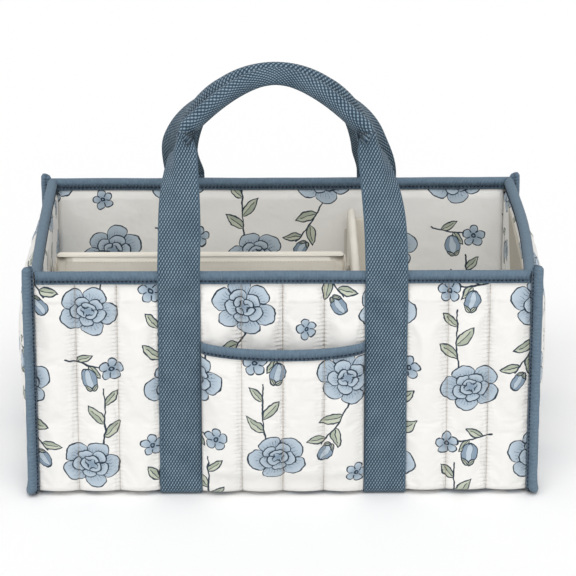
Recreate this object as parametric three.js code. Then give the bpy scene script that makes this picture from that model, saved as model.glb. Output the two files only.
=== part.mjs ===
// Quilted diaper caddy: a soft open tote with a stiffened body, bound rims and corners,
// a scooped front pocket, two webbing handles with folded grips and two lift-out dividers.
//
// Frame: +X right, +Y back, +Z up, in millimetres. The origin is the middle of the footprint.
// The body's own middle lies a little behind it, because the pocket stands out in front.

import * as THREE from 'three';

const { ShapeUtils, Vector2, Vector3 } = THREE;

// Body, seam to seam
const bodyWidth = 373.2;
const bodyDepth = 221;
const rimHeight = 182;
const foldRadius = 6;
const clearance = 0.3;

// Quilted panels
const frontChannels = 12;
const sideChannels = 7;
const panelThickness = 2;
const puffHeight = 4.5;
const basePuffHeight = 1.5;
const puffFade = 16;
const sideCrown = 14;
const puffRoundShare = 0.8;
const crownRoundShare = 0.5;
const channelSteps = 4;
const fadeShares = [0, 0.5, 1];

// Stiffener boards and lining
const boardThickness = 2;
const boardCorner = 6;
const liningThickness = 1.5;
const liningJog = 4;

// Bias tape on the rims
const tapeThickness = 1.2;
const rimTapeHeight = 9;

// Bound corner seams
const flangeReach = 9.5;
const flangeThickness = 6.5;
const flangeRiseFront = 5.5;
const flangeRiseBack = 1.5;
const flangeFoldHeight = 2;
const flangeTipShare = 0.72;

// Webbing
const webbingWidth = 32;
const webbingThickness = 1.6;
const strapChannelShare = 2.5;
const strapEaseHeight = 8;
const hingeGap = 0.3;
const hingeBevel = 3.3;

// Handles
const handleLegHeight = 86;
const handleApexHeight = 157;
const handleShoulderHeight = 121;
const handleCrownHalf = 36;
const handleSway = 5;
const foldStart = 30;
const foldEnd = 116;
const foldPower = 2;
const foldNoseRadius = 2.4;
const foldCloseAngle = 0.24;
const frontLean = 27;
const backLean = 38.5;
const legStationShares = [0.35, 0.5, 0.65, 0.8, 0.9];

// Front pocket
const pocketTop = 127.5;
const pocketScoop = 3;
const pocketStandoff = 2.4;
const pocketBulge = 10.5;
const pocketThickness = 2;
const pocketPuff = 3;
const pocketFloor = 12;
const pocketTapeHeight = 8.2;
const pocketFillShare = 0.6;
const pocketSidePower = 3;
const pocketRowShares = [0, 0.05, 0.12, 0.25, 0.45, 0.7, 0.86, 0.94, 1];

// Dividers
const dividerThickness = 6.5;
const dividerWall = 1.2;
const dividerDrop = 22;
const crossDividerPlace = 57;
const longDividerPlace = -6;
const coreMargin = 3;
const flapThickness = 2;
const flapWidth = 26;
const flapCorner = 5;
const flapMargin = 10;
const hookThickness = 1;
const hookWidth = 16;
const hookMargin = 20;
const hookCornerShare = 1.5;
const loopWidth = 30;

// Heights and places that follow from these
const halfWidth = bodyWidth / 2;
const halfDepth = bodyDepth / 2;
const channelPitch = bodyWidth / frontChannels;
const strapCentre = channelPitch * strapChannelShare;
const strapReach = webbingWidth / 2 + clearance;
const undersideHeight = webbingThickness + clearance;
const foldCentreHeight = undersideHeight + foldRadius;
const foldQuarter = (foldRadius * Math.PI) / 4;
const flatHalfDepth = halfDepth - foldRadius;
const panelTop = rimHeight - tapeThickness - clearance;
const boardInset = panelThickness + clearance;
const liningInset = boardInset + boardThickness + clearance;
const liningFace = liningInset + liningThickness;
const boardTop = rimHeight - rimTapeHeight - liningJog - clearance;
const baseBoardFloor = undersideHeight + panelThickness + clearance;
const baseLiningFloor = baseBoardFloor + boardThickness + clearance;
const innerFloor = baseLiningFloor + liningThickness;
const insideHalfWidth = halfWidth - liningFace;
const insideHalfDepth = halfDepth - liningFace;

// Colours and finishes
const finish = (color, roughness) => () =>
  new THREE.MeshStandardMaterial({ color, roughness, metalness: 0 });
const quiltedCloth = finish('#f1f0ed', 0.86);
const liningCloth = finish('#e6e2da', 0.9);
const biasTape = finish('#74899b', 0.8);
const webbing = finish('#586e7c', 0.78);
const stiffener = finish('#c9c2b4', 0.9);
const dividerCloth = finish('#ebe4d5', 0.9);
const fasteningTape = finish('#e9e6df', 0.95);

const caddy = new THREE.Group();

function addPiece(name, geometry, makeMaterial, parent = caddy) {
  const mesh = new THREE.Mesh(geometry, makeMaterial());
  mesh.name = name;
  parent.add(mesh);
  return mesh;
}

const range = (count) => Array.from({ length: count }, (_, index) => index);
const mix = THREE.MathUtils.lerp;
const ease = (value) => THREE.MathUtils.smoothstep(value, 0, 1);

// A closed geometry from points and triangles, turned so that its faces point outwards
function closedGeometry(points, triangles) {
  let volume = 0;
  for (const [a, b, c] of triangles) {
    volume += points[a].dot(new Vector3().crossVectors(points[b], points[c]));
  }
  const faces = volume < 0 ? triangles.map(([a, b, c]) => [a, c, b]) : triangles;
  const geometry = new THREE.BufferGeometry().setFromPoints(points);
  geometry.setIndex(faces.flat());
  geometry.computeVertexNormals();
  return geometry;
}

// A solid through rings that all have the same number of points, capped at both ends
function loftGeometry(rings, caps) {
  const count = rings[0].length;
  const last = (rings.length - 1) * count;
  const triangles = [];
  for (const ring of range(rings.length - 1)) {
    for (const index of range(count)) {
      const next = (index + 1) % count;
      const [a, b] = [ring * count + index, ring * count + next];
      triangles.push([a, b, b + count], [a, b + count, a + count]);
    }
  }
  for (const [a, b, c] of caps) {
    triangles.push([a, c, b], [last + a, last + b, last + c]);
  }
  return closedGeometry(rings.flat(), triangles);
}

// Triangles that close a cross-section, wound the way its own points run
function capTriangles(section) {
  const triangles = ShapeUtils.triangulateShape(section, []);
  return ShapeUtils.isClockWise(section) ? triangles.map(([a, b, c]) => [a, c, b]) : triangles;
}

// A bar of one cross-section, whose ends are cut by a function of the section's first value
function barGeometry(section, place, endAt) {
  const ring = (side) => section.map(({ x, y }) => place(side * endAt(x), x, y));
  return loftGeometry([ring(-1), ring(1)], capTriangles(section));
}

// A sheet between two surfaces that are functions of column and row
function sheetGeometry(columns, rows, outer, inner) {
  const across = columns.length;
  const up = rows.length;
  const grid = (surface) => rows.flatMap((row) => columns.map((column) => surface(column, row)));
  const points = [...grid(outer), ...grid(inner)];
  const front = (column, row) => row * across + column;
  const back = (column, row) => across * up + front(column, row);
  const triangles = [];
  const quad = (a, b, c, d) => triangles.push([a, b, c], [a, c, d]);
  const [right, high] = [across - 1, up - 1];
  for (const row of range(high)) {
    for (const column of range(right)) {
      const [next, above] = [column + 1, row + 1];
      quad(front(column, row), front(next, row), front(next, above), front(column, above));
      quad(back(column, row), back(column, above), back(next, above), back(next, row));
    }
    quad(front(0, row), front(0, row + 1), back(0, row + 1), back(0, row));
    quad(front(right, row), back(right, row), back(right, row + 1), front(right, row + 1));
  }
  for (const column of range(right)) {
    quad(front(column, 0), back(column, 0), back(column + 1, 0), front(column + 1, 0));
    quad(front(column, high), front(column + 1, high), back(column + 1, high), back(column, high));
  }
  return closedGeometry(points, triangles);
}

// A sheet whose back is flat, so that its back needs only the points of its edge
function flatBackedGeometry(columns, rows, outer, inner) {
  const across = columns.length;
  const up = rows.length;
  const points = rows.flatMap((row) => columns.map((column) => outer(column, row)));
  const front = (column, row) => row * across + column;
  const backPoints = new Map();
  const back = (column, row) => {
    const key = front(column, row);
    if (!backPoints.has(key)) {
      backPoints.set(key, points.length);
      points.push(inner(columns[column], rows[row]));
    }
    return backPoints.get(key);
  };
  const triangles = [];
  const quad = (a, b, c, d) => triangles.push([a, b, c], [a, c, d]);
  const [right, high] = [across - 1, up - 1];
  for (const row of range(high)) {
    for (const column of range(right)) {
      const [next, above] = [column + 1, row + 1];
      quad(front(column, row), front(next, row), front(next, above), front(column, above));
    }
    quad(front(0, row), front(0, row + 1), back(0, row + 1), back(0, row));
    quad(front(right, row), back(right, row), back(right, row + 1), front(right, row + 1));
    triangles.push([back(1, 0), back(0, row), back(0, row + 1)]);
    triangles.push([back(right - 1, 0), back(right, row + 1), back(right, row)]);
  }
  triangles.push([back(1, 0), back(0, high), back(1, high)]);
  triangles.push([back(right - 1, 0), back(right - 1, high), back(right, high)]);
  for (const column of range(right)) {
    quad(front(column, 0), back(column, 0), back(column + 1, 0), front(column + 1, 0));
    quad(front(column, high), front(column + 1, high), back(column + 1, high), back(column, high));
    if (column > 0 && column < right - 1) {
      quad(back(column, 0), back(column, high), back(column + 1, high), back(column + 1, 0));
    }
  }
  return closedGeometry(points, triangles);
}

// A flat plate with rounded corners, in the plane of its first two values
function plateGeometry(width, height, thickness, corner) {
  const radius = Math.min(corner, width / 2, height / 2);
  const [w, h] = [width / 2 - radius, height / 2 - radius];
  const outline = new THREE.Shape();
  outline.absarc(w, h, radius, 0, Math.PI / 2);
  outline.absarc(-w, h, radius, Math.PI / 2, Math.PI);
  outline.absarc(-w, -h, radius, Math.PI, 1.5 * Math.PI);
  outline.absarc(w, -h, radius, 1.5 * Math.PI, 2 * Math.PI);
  const options = { depth: thickness, bevelEnabled: false, curveSegments: 3 };
  const plate = new THREE.ExtrudeGeometry(outline, options);
  return plate.translate(0, 0, -thickness / 2);
}

// Each wall has its own way of placing a point: along the wall, outwards from the middle, and up
const walls = {
  front: { half: halfWidth, out: halfDepth, place: (along, out, up) => new Vector3(along, -out, up) },
  back: { half: halfWidth, out: halfDepth, place: (along, out, up) => new Vector3(-along, out, up) },
  left: { half: halfDepth, out: halfWidth, place: (along, out, up) => new Vector3(-out, -along, up) },
  right: { half: halfDepth, out: halfWidth, place: (along, out, up) => new Vector3(out, along, up) },
};

// How far an edge stays inside the corner where two panels meet, behind or before the seam's face
const mitre = (offset) => clearance + Math.abs(offset);

// Quilting: the share of a channel's full height at a place across it
function puffShare(along, half, channels) {
  const turn = (((along + half) / (2 * half)) * channels) % 1;
  return Math.pow(Math.abs(Math.sin(Math.PI * turn)), puffRoundShare);
}

const underStrap = (along) => Math.abs(Math.abs(along) - strapCentre) < strapReach + clearance / 2;

// Columns across a quilted width, a few for each channel, and extra ones where the straps' edges lie
function quiltColumns(half, channels, edges = []) {
  const count = channels * channelSteps;
  const even = range(count + 1).map((step) => mix(-half, half, step / count));
  const distinct = even.filter((value) => edges.every((edge) => Math.abs(edge - value) > clearance));
  return [...distinct, ...edges].sort((a, b) => a - b);
}

const strapEdges = [-1, 1].flatMap((side) =>
  [-1, 1].map((edge) => side * strapCentre + edge * strapReach));

const clampTo = (value, limit) => THREE.MathUtils.clamp(value, -limit, limit);

// Front and back panels curl under at the bottom, to the middle of the fold
function foldPoint(wall, along, distance, offset) {
  const limit = wall.half - mitre(Math.min(offset, 0));
  if (distance < foldQuarter) {
    const angle = (Math.PI / 4) * (1 - distance / foldQuarter);
    const radius = foldRadius + offset;
    const out = wall.out - foldRadius + radius * Math.cos(angle);
    return wall.place(clampTo(along, limit), out, foldCentreHeight - radius * Math.sin(angle));
  }
  const up = foldCentreHeight + distance - foldQuarter;
  return wall.place(clampTo(along, limit), wall.out + offset, up);
}

const panelRun = foldQuarter + panelTop - foldCentreHeight;
const fadeRows = fadeShares.map((share) => share * puffFade);

function bodyPanel(name, wall) {
  const lowRows = fadeRows.map((step) => foldQuarter + step);
  const highRows = [...fadeRows].reverse().map((step) => panelRun - rimTapeHeight - step);
  const rows = [clearance / 2, foldQuarter / 2, ...lowRows, ...highRows, panelRun];
  const columns = quiltColumns(wall.half, frontChannels, strapEdges);
  const outer = (along, row) => {
    const low = ease((row - foldQuarter) / puffFade);
    const high = ease((panelRun - rimTapeHeight - row) / puffFade);
    const puff = underStrap(along) ? 0 : puffHeight * puffShare(along, wall.half, frontChannels);
    return foldPoint(wall, along, row, puff * low * high);
  };
  const inner = (along, row) => foldPoint(wall, along, row, -panelThickness);
  addPiece(name, sheetGeometry(columns, rows, outer, inner), quiltedCloth);
}

// The base runs from fold to fold and rests between the straps
function basePanel() {
  const run = flatHalfDepth + foldQuarter - clearance / 2;
  const point = (along, row, offset) => {
    const angle = Math.max(0, Math.abs(row) - flatHalfDepth) / foldRadius;
    const radius = foldRadius + offset;
    const depth = Math.min(Math.abs(row), flatHalfDepth) + radius * Math.sin(angle);
    const limit = halfWidth - mitre(Math.min(offset, 0));
    const up = foldCentreHeight - radius * Math.cos(angle);
    return new Vector3(clampTo(along, limit), Math.sign(row) * depth, up);
  };
  const innerRows = fadeRows.map((step) => flatHalfDepth - step);
  const halfRows = [run, run - foldQuarter / 2, ...innerRows];
  const rows = [...halfRows.map((row) => -row), ...halfRows.reverse()];
  const columns = quiltColumns(halfWidth, frontChannels, strapEdges);
  const outer = (along, row) => {
    const fade = ease((flatHalfDepth - Math.abs(row)) / puffFade);
    const puff = underStrap(along) ? 0 : basePuffHeight * puffShare(along, halfWidth, frontChannels);
    return point(along, row, puff * fade);
  };
  const inner = (along, row) => point(along, row, -panelThickness);
  addPiece('base_panel', sheetGeometry(columns, rows, outer, inner), quiltedCloth);
}

// Side panels are crowned, with round lower corners that follow the body's fold
function sidePanel(name, wall) {
  const crownTop = panelTop - rimTapeHeight;
  const turnRows = [1, 0.5].map((turn) => ({ turn }));
  const lowRows = fadeRows.map((step) => ({ up: foldCentreHeight + step }));
  const middle = (foldCentreHeight + panelTop) / 2;
  const highRows = [...fadeRows].reverse().map((step) => ({ up: crownTop - step }));
  const rows = [...turnRows, ...lowRows, { up: middle }, ...highRows, { up: panelTop }];
  const outline = (row, inset) => {
    if (row.turn === undefined) {
      return { half: wall.half - inset, up: row.up };
    }
    const angle = (row.turn * Math.PI) / 2;
    const radius = foldRadius - inset;
    return {
      half: flatHalfDepth + radius * Math.cos(angle),
      up: foldCentreHeight - radius * Math.sin(angle),
    };
  };
  const columns = quiltColumns(wall.half, sideChannels);
  const outer = (along, row) => {
    const edge = outline(row, mitre(0));
    const rise = (edge.up - undersideHeight) / (crownTop - undersideHeight);
    const share = THREE.MathUtils.clamp(rise, 0, 1);
    const width = Math.cos((Math.PI / 2) * (along / wall.half));
    const crown = sideCrown * width * Math.pow(Math.sin(Math.PI * share), crownRoundShare);
    const low = ease((edge.up - foldCentreHeight) / puffFade);
    const high = ease((crownTop - edge.up) / puffFade);
    const puff = puffHeight * puffShare(along, wall.half, sideChannels) * low * high;
    const squeezed = (along / wall.half) * edge.half;
    return wall.place(squeezed, wall.out + crown * low + puff, edge.up);
  };
  const inner = (along, row) => {
    const edge = outline(row, mitre(panelThickness));
    return wall.place((along / wall.half) * edge.half, wall.out - panelThickness, edge.up);
  };
  addPiece(name, flatBackedGeometry(columns, rows, outer, inner), quiltedCloth);
}

bodyPanel('front_panel', walls.front);
bodyPanel('back_panel', walls.back);
basePanel();
sidePanel('left_panel', walls.left);
sidePanel('right_panel', walls.right);

// Stiffener boards stand inside the quilted panels
function wallBoard(name, wall, half) {
  const height = boardTop - foldCentreHeight;
  const board = plateGeometry(2 * half, height, boardThickness, boardCorner);
  board.rotateX(Math.PI / 2);
  if (wall === walls.left || wall === walls.right) {
    board.rotateZ(Math.PI / 2);
  }
  const middle = wall.place(0, wall.out - boardInset - boardThickness / 2, foldCentreHeight + height / 2);
  addPiece(name, board, stiffener).position.copy(middle);
}

const boardHalfWidth = halfWidth - panelThickness - clearance;
const sideBoardHalf = halfDepth - liningInset;
wallBoard('front_board', walls.front, boardHalfWidth);
wallBoard('back_board', walls.back, boardHalfWidth);
wallBoard('left_board', walls.left, sideBoardHalf);
wallBoard('right_board', walls.right, sideBoardHalf);

const baseBoard = plateGeometry(2 * boardHalfWidth, 2 * flatHalfDepth, boardThickness, boardCorner);
addPiece('base_board', baseBoard, stiffener).position.z = baseBoardFloor + boardThickness / 2;

// Lining sheets step outwards above the boards, into the rim tape
function wallLining(name, wall, half) {
  const low = wall.out - liningInset;
  const high = wall.out - boardInset;
  const jogTop = rimHeight - rimTapeHeight;
  const jogFoot = jogTop - liningJog;
  const outline = [
    [low, baseLiningFloor], [low, jogFoot], [high, jogTop], [high, panelTop],
  ];
  const back = outline.map(([out, up]) => new Vector2(out - liningThickness, up)).reverse();
  const section = [...outline.map(([out, up]) => new Vector2(out, up)), ...back];
  addPiece(name, barGeometry(section, wall.place, () => half), liningCloth);
}

const liningHalfWidth = halfWidth - liningInset;
wallLining('front_lining', walls.front, liningHalfWidth);
wallLining('back_lining', walls.back, liningHalfWidth);
wallLining('left_lining', walls.left, insideHalfDepth - clearance);
wallLining('right_lining', walls.right, insideHalfDepth - clearance);

const baseLining = plateGeometry(
  2 * (insideHalfWidth - clearance), 2 * (insideHalfDepth - clearance), liningThickness, boardCorner);
addPiece('base_lining', baseLining, liningCloth).position.z = baseLiningFloor + liningThickness / 2;

// The upper half of a circle, from right to left
function halfRound(middle, top, radius) {
  const sides = 6;
  return range(sides + 1).map((step) => {
    const angle = (Math.PI * step) / sides;
    return new Vector2(middle + radius * Math.cos(angle), top - radius + radius * Math.sin(angle));
  });
}

// A folded tape over an edge: a channel with a round back, open below
function tapeSection(outerFace, innerFace, top, height) {
  const radius = (outerFace - innerFace) / 2 + tapeThickness;
  const round = halfRound((outerFace + innerFace) / 2, top, radius);
  const slotTop = top - tapeThickness;
  return [
    new Vector2(outerFace, top - height),
    new Vector2(outerFace + tapeThickness, top - height),
    ...round,
    new Vector2(innerFace - tapeThickness, top - height),
    new Vector2(innerFace, top - height),
    new Vector2(innerFace, slotTop),
    new Vector2(outerFace, slotTop),
  ];
}

function rimTape(name, wall) {
  const outerFace = wall.out + clearance;
  const innerFace = wall.out - boardInset - liningThickness - clearance;
  const section = tapeSection(outerFace, innerFace, rimHeight, rimTapeHeight);
  const endAt = (out) => wall.half - mitre(out - wall.out);
  addPiece(name, barGeometry(section, wall.place, endAt), biasTape);
}

rimTape('front_rim_tape', walls.front);
rimTape('back_rim_tape', walls.back);
rimTape('left_rim_tape', walls.left);
rimTape('right_rim_tape', walls.right);

// A bound seam stands out of each side's corners: down the front, under the side and up the back
function cornerFlange(name, side) {
  const reach = clearance + flangeReach / 2;
  const core = (flangeReach - flangeThickness) / 2;
  const sides = 12;
  const section = range(sides).map((step) => {
    const angle = (2 * Math.PI * (step + 0.5)) / sides;
    const end = Math.sign(Math.cos(angle)) * core;
    const radius = flangeThickness / 2;
    return new Vector2(end + radius * Math.cos(angle), radius * Math.sin(angle));
  });
  const station = (face, turn, up, size = 1) => {
    const angle = (turn * Math.PI) / 2;
    const diagonal = new Vector3(side, face * (1 - turn), 0).normalize();
    const lift = (flangeThickness / 2 - undersideHeight) * Math.sin(angle);
    const seam = new Vector3(
      side * halfWidth,
      face * (flatHalfDepth + foldRadius * Math.cos(angle)),
      up - foldRadius * Math.sin(angle) + lift);
    const across = new Vector3(0, -face * Math.sin(angle), -Math.cos(angle)).cross(diagonal);
    return { centre: seam.addScaledVector(diagonal, reach), diagonal, across, size };
  };
  const turns = range(5).map((step) => step / 4);
  const leg = (face, rise) => [
    station(face, 0, rimHeight + rise, flangeTipShare),
    station(face, 0, rimHeight + rise - flangeFoldHeight),
    ...turns.map((turn) => station(face, turn, foldCentreHeight)),
  ];
  const back = leg(1, flangeRiseBack).reverse();
  for (const part of back) {
    part.across.negate();
  }
  const point = ({ centre, diagonal, across, size }, x, y) =>
    centre.clone().addScaledVector(diagonal, x * size).addScaledVector(across, y * size);
  const stations = [...leg(-1, flangeRiseFront), ...back];
  const rings = stations.map((part) => section.map(({ x, y }) => point(part, x, y)));
  addPiece(name, loftGeometry(rings, capTriangles(section)), biasTape);
}

cornerFlange('left_corner_binding', -1);
cornerFlange('right_corner_binding', 1);

// Sewn straps: each webbing runs down the front, under the base and up the back
const tapeFace = halfDepth + clearance + tapeThickness + clearance;
const hingeOut = tapeFace + webbingThickness / 2;
const hingeHeight = rimHeight + webbingThickness;
const strapTop = hingeHeight - webbingThickness / 2 - hingeGap;

function sewnStrap(name, side) {
  const half = (offset) => {
    const radius = foldRadius + clearance + offset;
    const arc = range(5).map((step) => {
      const angle = (Math.PI * step) / 8;
      return [flatHalfDepth + radius * Math.cos(angle), foldCentreHeight - radius * Math.sin(angle)];
    });
    const bevel = offset > 0 ? hingeBevel : 0;
    const tapeFoot = rimHeight - rimTapeHeight - clearance;
    return [
      [tapeFace + offset, strapTop - bevel],
      [tapeFace + offset, tapeFoot],
      [halfDepth + clearance + offset, tapeFoot - strapEaseHeight],
      ...arc,
    ];
  };
  const path = (offset) => {
    const down = half(offset);
    const front = down.map(([out, up]) => new Vector2(-out, up));
    const back = down.map(([out, up]) => new Vector2(out, up)).reverse();
    return [...front, ...back];
  };
  const section = [...path(0), ...path(webbingThickness).reverse()];
  const place = (along, out, up) => new Vector3(side * strapCentre + along, out, up);
  addPiece(name, barGeometry(section, place, () => webbingWidth / 2), webbing);
}

sewnStrap('left_strap', -1);
sewnStrap('right_strap', 1);

// Handle grip: flat legs whose outer half folds behind, so that the grip is a closed teardrop
const noseRun = (foldNoseRadius * Math.PI) / 2;
const noseSteps = [-1, -0.5, 0, 0.5, 1].map((share) => share * noseRun);
const stripPlaces = [-webbingWidth / 2, ...noseSteps, webbingWidth / 2];

// The folded strip's middle line and direction at a place across the webbing
function stripPoint(place, fold) {
  const bend = fold * (Math.PI + foldCloseAngle);
  const steps = 12;
  const point = { across: -webbingWidth / 2, behind: 0, angle: 0 };
  const run = place + webbingWidth / 2;
  const turnAt = (position) => (position + noseRun) / (2 * noseRun);
  const angleAt = (position) => bend * THREE.MathUtils.clamp(turnAt(position), 0, 1);
  const straight = Math.min(run, webbingWidth / 2 - noseRun);
  point.across += straight;
  const curved = THREE.MathUtils.clamp(place + noseRun, 0, 2 * noseRun);
  for (const step of range(steps)) {
    const angle = angleAt(-noseRun + (curved * (step + 0.5)) / steps);
    point.across += (Math.cos(angle) * curved) / steps;
    point.behind += (Math.sin(angle) * curved) / steps;
  }
  const rest = Math.max(0, place - noseRun);
  point.angle = angleAt(place);
  point.across += Math.cos(point.angle) * rest;
  point.behind += Math.sin(point.angle) * rest;
  return point;
}

function handleGeometry(sway) {
  const foot = new Vector2(-strapCentre, 0);
  const shoulder = new Vector2(-strapCentre, handleLegHeight);
  const arch = new THREE.CubicBezierCurve(
    shoulder,
    new Vector2(-strapCentre, handleShoulderHeight),
    new Vector2(-handleCrownHalf, handleApexHeight),
    new Vector2(0, handleApexHeight));
  const leg = new THREE.LineCurve(foot, shoulder);
  const archLength = arch.getLength();
  const half = webbingThickness / 2;
  const footEnd = [60, 30].map((degrees) => THREE.MathUtils.degToRad(degrees));
  const archSteps = 12;
  const stations = [
    ...footEnd.map((turn) => ({ curve: leg, share: 0, drop: half * Math.sin(turn), thin: Math.cos(turn) })),
    ...[0, ...legStationShares].map((share) => ({ curve: leg, share, drop: 0, thin: 1 })),
    ...range(archSteps + 1).map((step) => ({ curve: arch, share: step / archSteps, drop: 0, thin: 1 })),
  ];
  const ring = ({ curve, share, drop, thin }, mirrorSide) => {
    const at = curve.getPointAt(share);
    const tangent = curve.getTangentAt(share);
    const travelled = curve === leg ? share * handleLegHeight : handleLegHeight + share * archLength;
    const folded = THREE.MathUtils.clamp((travelled - foldStart) / (foldEnd - foldStart), 0, 1);
    const fold = Math.pow(folded, foldPower);
    const place = (across, behind) => {
      const x = at.x - tangent.y * across;
      const up = at.y + tangent.x * across - drop;
      return new Vector3(mirrorSide * x + sway * ease(up / handleApexHeight), behind, up);
    };
    const side = (sign) => stripPlaces.map((position) => {
      const { across, behind, angle } = stripPoint(position, fold);
      const lift = sign * half * thin;
      return place(across - Math.sin(angle) * lift, behind + Math.cos(angle) * lift);
    });
    return [...side(1), ...side(-1).reverse()];
  };
  const left = stations.map((station) => ring(station, 1));
  const right = stations.slice(0, -1).reverse().map((station) => ring(station, -1));
  const pairs = stripPlaces.length;
  const caps = range(pairs - 1).flatMap((index) => {
    const [a, b, c, d] = [index, index + 1, 2 * pairs - 2 - index, 2 * pairs - 1 - index];
    return [[a, b, c], [a, c, d]];
  });
  return loftGeometry([...left, ...right], caps);
}

function handle(name, turn, lean, sway) {
  const group = new THREE.Group();
  group.rotation.z = turn;
  caddy.add(group);
  const mesh = addPiece(name, handleGeometry(sway), webbing, group);
  mesh.position.set(0, -hingeOut, hingeHeight);
  mesh.rotation.x = -THREE.MathUtils.degToRad(lean);
}

handle('front_handle', 0, frontLean, -handleSway);
handle('back_handle', Math.PI, backLean, handleSway);

// The front pocket stands forward of the panel, sewn down at its sides and foot
const pocketHalf = strapCentre - webbingWidth / 2 - clearance;

function pocketOffset(along, up) {
  const width = Math.pow(1 - Math.pow(Math.abs(along) / pocketHalf, pocketSidePower), pocketFillShare);
  const share = (up - pocketFloor) / (pocketTop - pocketFloor);
  const filled = THREE.MathUtils.clamp(share / pocketFillShare, 0, 1);
  const height = Math.pow(Math.sin((Math.PI / 2) * filled), pocketFillShare);
  return pocketStandoff + pocketBulge * width * height;
}

const pocketEdge = (along) => pocketTop - pocketScoop * Math.cos((Math.PI / 2) * (along / pocketHalf));

function frontPocket() {
  const across = quiltColumns(halfWidth, frontChannels);
  const inside = across.filter((along) => Math.abs(along) < pocketHalf - clearance);
  const columns = [-pocketHalf, ...inside, pocketHalf];
  const tapeFoot = (along) => pocketEdge(along) - pocketTapeHeight - clearance;
  const sheetTop = (along) => pocketEdge(along) - tapeThickness - clearance;
  const fillRows = pocketRowShares.map((share) => (along) => mix(pocketFloor, tapeFoot(along), share));
  const rows = [...fillRows, sheetTop];
  const point = (along, row, extra) => {
    const up = row(along);
    return walls.front.place(along, halfDepth + pocketOffset(along, up) + extra, up);
  };
  const outer = (along, row) => {
    const low = ease((row(along) - pocketFloor) / puffFade);
    const high = ease((tapeFoot(along) - row(along)) / puffFade);
    const puff = pocketPuff * puffShare(along, halfWidth, frontChannels) * low * high;
    return point(along, row, pocketThickness + puff);
  };
  const inner = (along, row) => point(along, row, 0);
  addPiece('front_pocket', sheetGeometry(columns, rows, outer, inner), quiltedCloth);

  const outerFace = pocketThickness + clearance;
  const tape = tapeSection(outerFace, -clearance, 0, pocketTapeHeight);
  const rings = columns.map((along) =>
    tape.map(({ x, y }) => {
      const up = pocketEdge(along);
      return walls.front.place(along, halfDepth + pocketOffset(along, up) + x, up + y);
    }));
  addPiece('pocket_tape', loftGeometry(rings, capTriangles(tape)), biasTape);
}

frontPocket();

// Dividers: a sleeve folded over a foam core, with an end flap at each end that fastens to the lining
const dividerTop = rimHeight - dividerDrop;
const dividerFloor = innerFloor + clearance;
const fasteningStack = clearance + hookThickness;
const flapHeight = dividerTop - dividerFloor - 2 * flapMargin;
const tapeHeight = dividerTop - dividerFloor - 2 * hookMargin;
const middleHeight = (dividerTop + dividerFloor) / 2;

const alongY = {
  place: (along, across, up) => new Vector3(crossDividerPlace + across, along, up),
  turned: true,
};
const alongX = {
  place: (along, across, up) => new Vector3(along, longDividerPlace + across, up),
  turned: false,
};

function sleeve(name, line, start, end) {
  const radius = dividerThickness / 2;
  const slot = radius - dividerWall;
  const section = [
    new Vector2(slot, dividerFloor),
    new Vector2(radius, dividerFloor),
    ...halfRound(0, dividerTop, radius),
    new Vector2(-radius, dividerFloor),
    new Vector2(-slot, dividerFloor),
    new Vector2(-slot, dividerTop - radius),
    new Vector2(slot, dividerTop - radius),
  ];
  const middle = (start + end) / 2;
  const place = (along, across, up) => line.place(middle + along, across, up);
  addPiece(name, barGeometry(section, place, () => (end - start) / 2), dividerCloth);
}

function standingPlate(name, line, at, across, size, makeMaterial) {
  const plate = plateGeometry(size.width, size.height, size.thickness, size.corner);
  plate.rotateX(Math.PI / 2);
  if (size.turned) {
    plate.rotateZ(Math.PI / 2);
  }
  addPiece(name, plate, makeMaterial).position.copy(line.place(at, across, middleHeight));
}

// One end of a divider: from the face it fastens to, a loop tape, a hook tape and the flap
function dividerEnd(prefix, line, face, direction, loopName) {
  const turned = !line.turned;
  const shift = (flapWidth - dividerThickness) / 2;
  const at = (depth) => face - direction * depth;
  const corner = hookCornerShare * hookThickness;
  const tape = { width: hookWidth, height: tapeHeight, thickness: hookThickness, corner, turned };
  const loop = { ...tape, width: loopWidth };
  const flap = {
    width: flapWidth,
    height: flapHeight,
    thickness: flapThickness,
    corner: flapCorner,
    turned,
  };
  standingPlate(loopName, line, at(clearance + hookThickness / 2), shift, loop, fasteningTape);
  const hookDepth = fasteningStack + clearance + hookThickness / 2;
  standingPlate(`${prefix}_hook_tape`, line, at(hookDepth), shift, tape, fasteningTape);
  const flapDepth = 2 * fasteningStack + clearance + flapThickness / 2;
  standingPlate(`${prefix}_flap`, line, at(flapDepth), shift, flap, dividerCloth);
  return at(flapDepth + flapThickness / 2 + clearance);
}

function divider(name, line, low, high) {
  const start = dividerEnd(`${name}_${low.end}`, line, low.face, -1, low.loop);
  const end = dividerEnd(`${name}_${high.end}`, line, high.face, 1, high.loop);
  sleeve(`${name}_sleeve`, line, start, end);
  const coreThickness = dividerThickness - 2 * dividerWall - 2 * clearance;
  const top = dividerTop - dividerThickness / 2 - clearance;
  const size = {
    width: end - start - 2 * coreMargin,
    height: top - dividerFloor - coreMargin,
    thickness: coreThickness,
    corner: coreMargin,
    turned: line.turned,
  };
  const core = plateGeometry(size.width, size.height, size.thickness, size.corner);
  core.rotateX(Math.PI / 2);
  if (size.turned) {
    core.rotateZ(Math.PI / 2);
  }
  const middle = line.place((start + end) / 2, 0, top - size.height / 2);
  addPiece(`${name}_core`, core, stiffener).position.copy(middle);
}

divider('cross_divider', alongY,
  { end: 'front', face: -insideHalfDepth, loop: 'front_loop_tape' },
  { end: 'back', face: insideHalfDepth, loop: 'back_loop_tape' });
divider('long_divider', alongX,
  { end: 'left', face: -insideHalfWidth, loop: 'left_loop_tape' },
  { end: 'right', face: crossDividerPlace - dividerThickness / 2, loop: 'cross_divider_loop_tape' });

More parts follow.
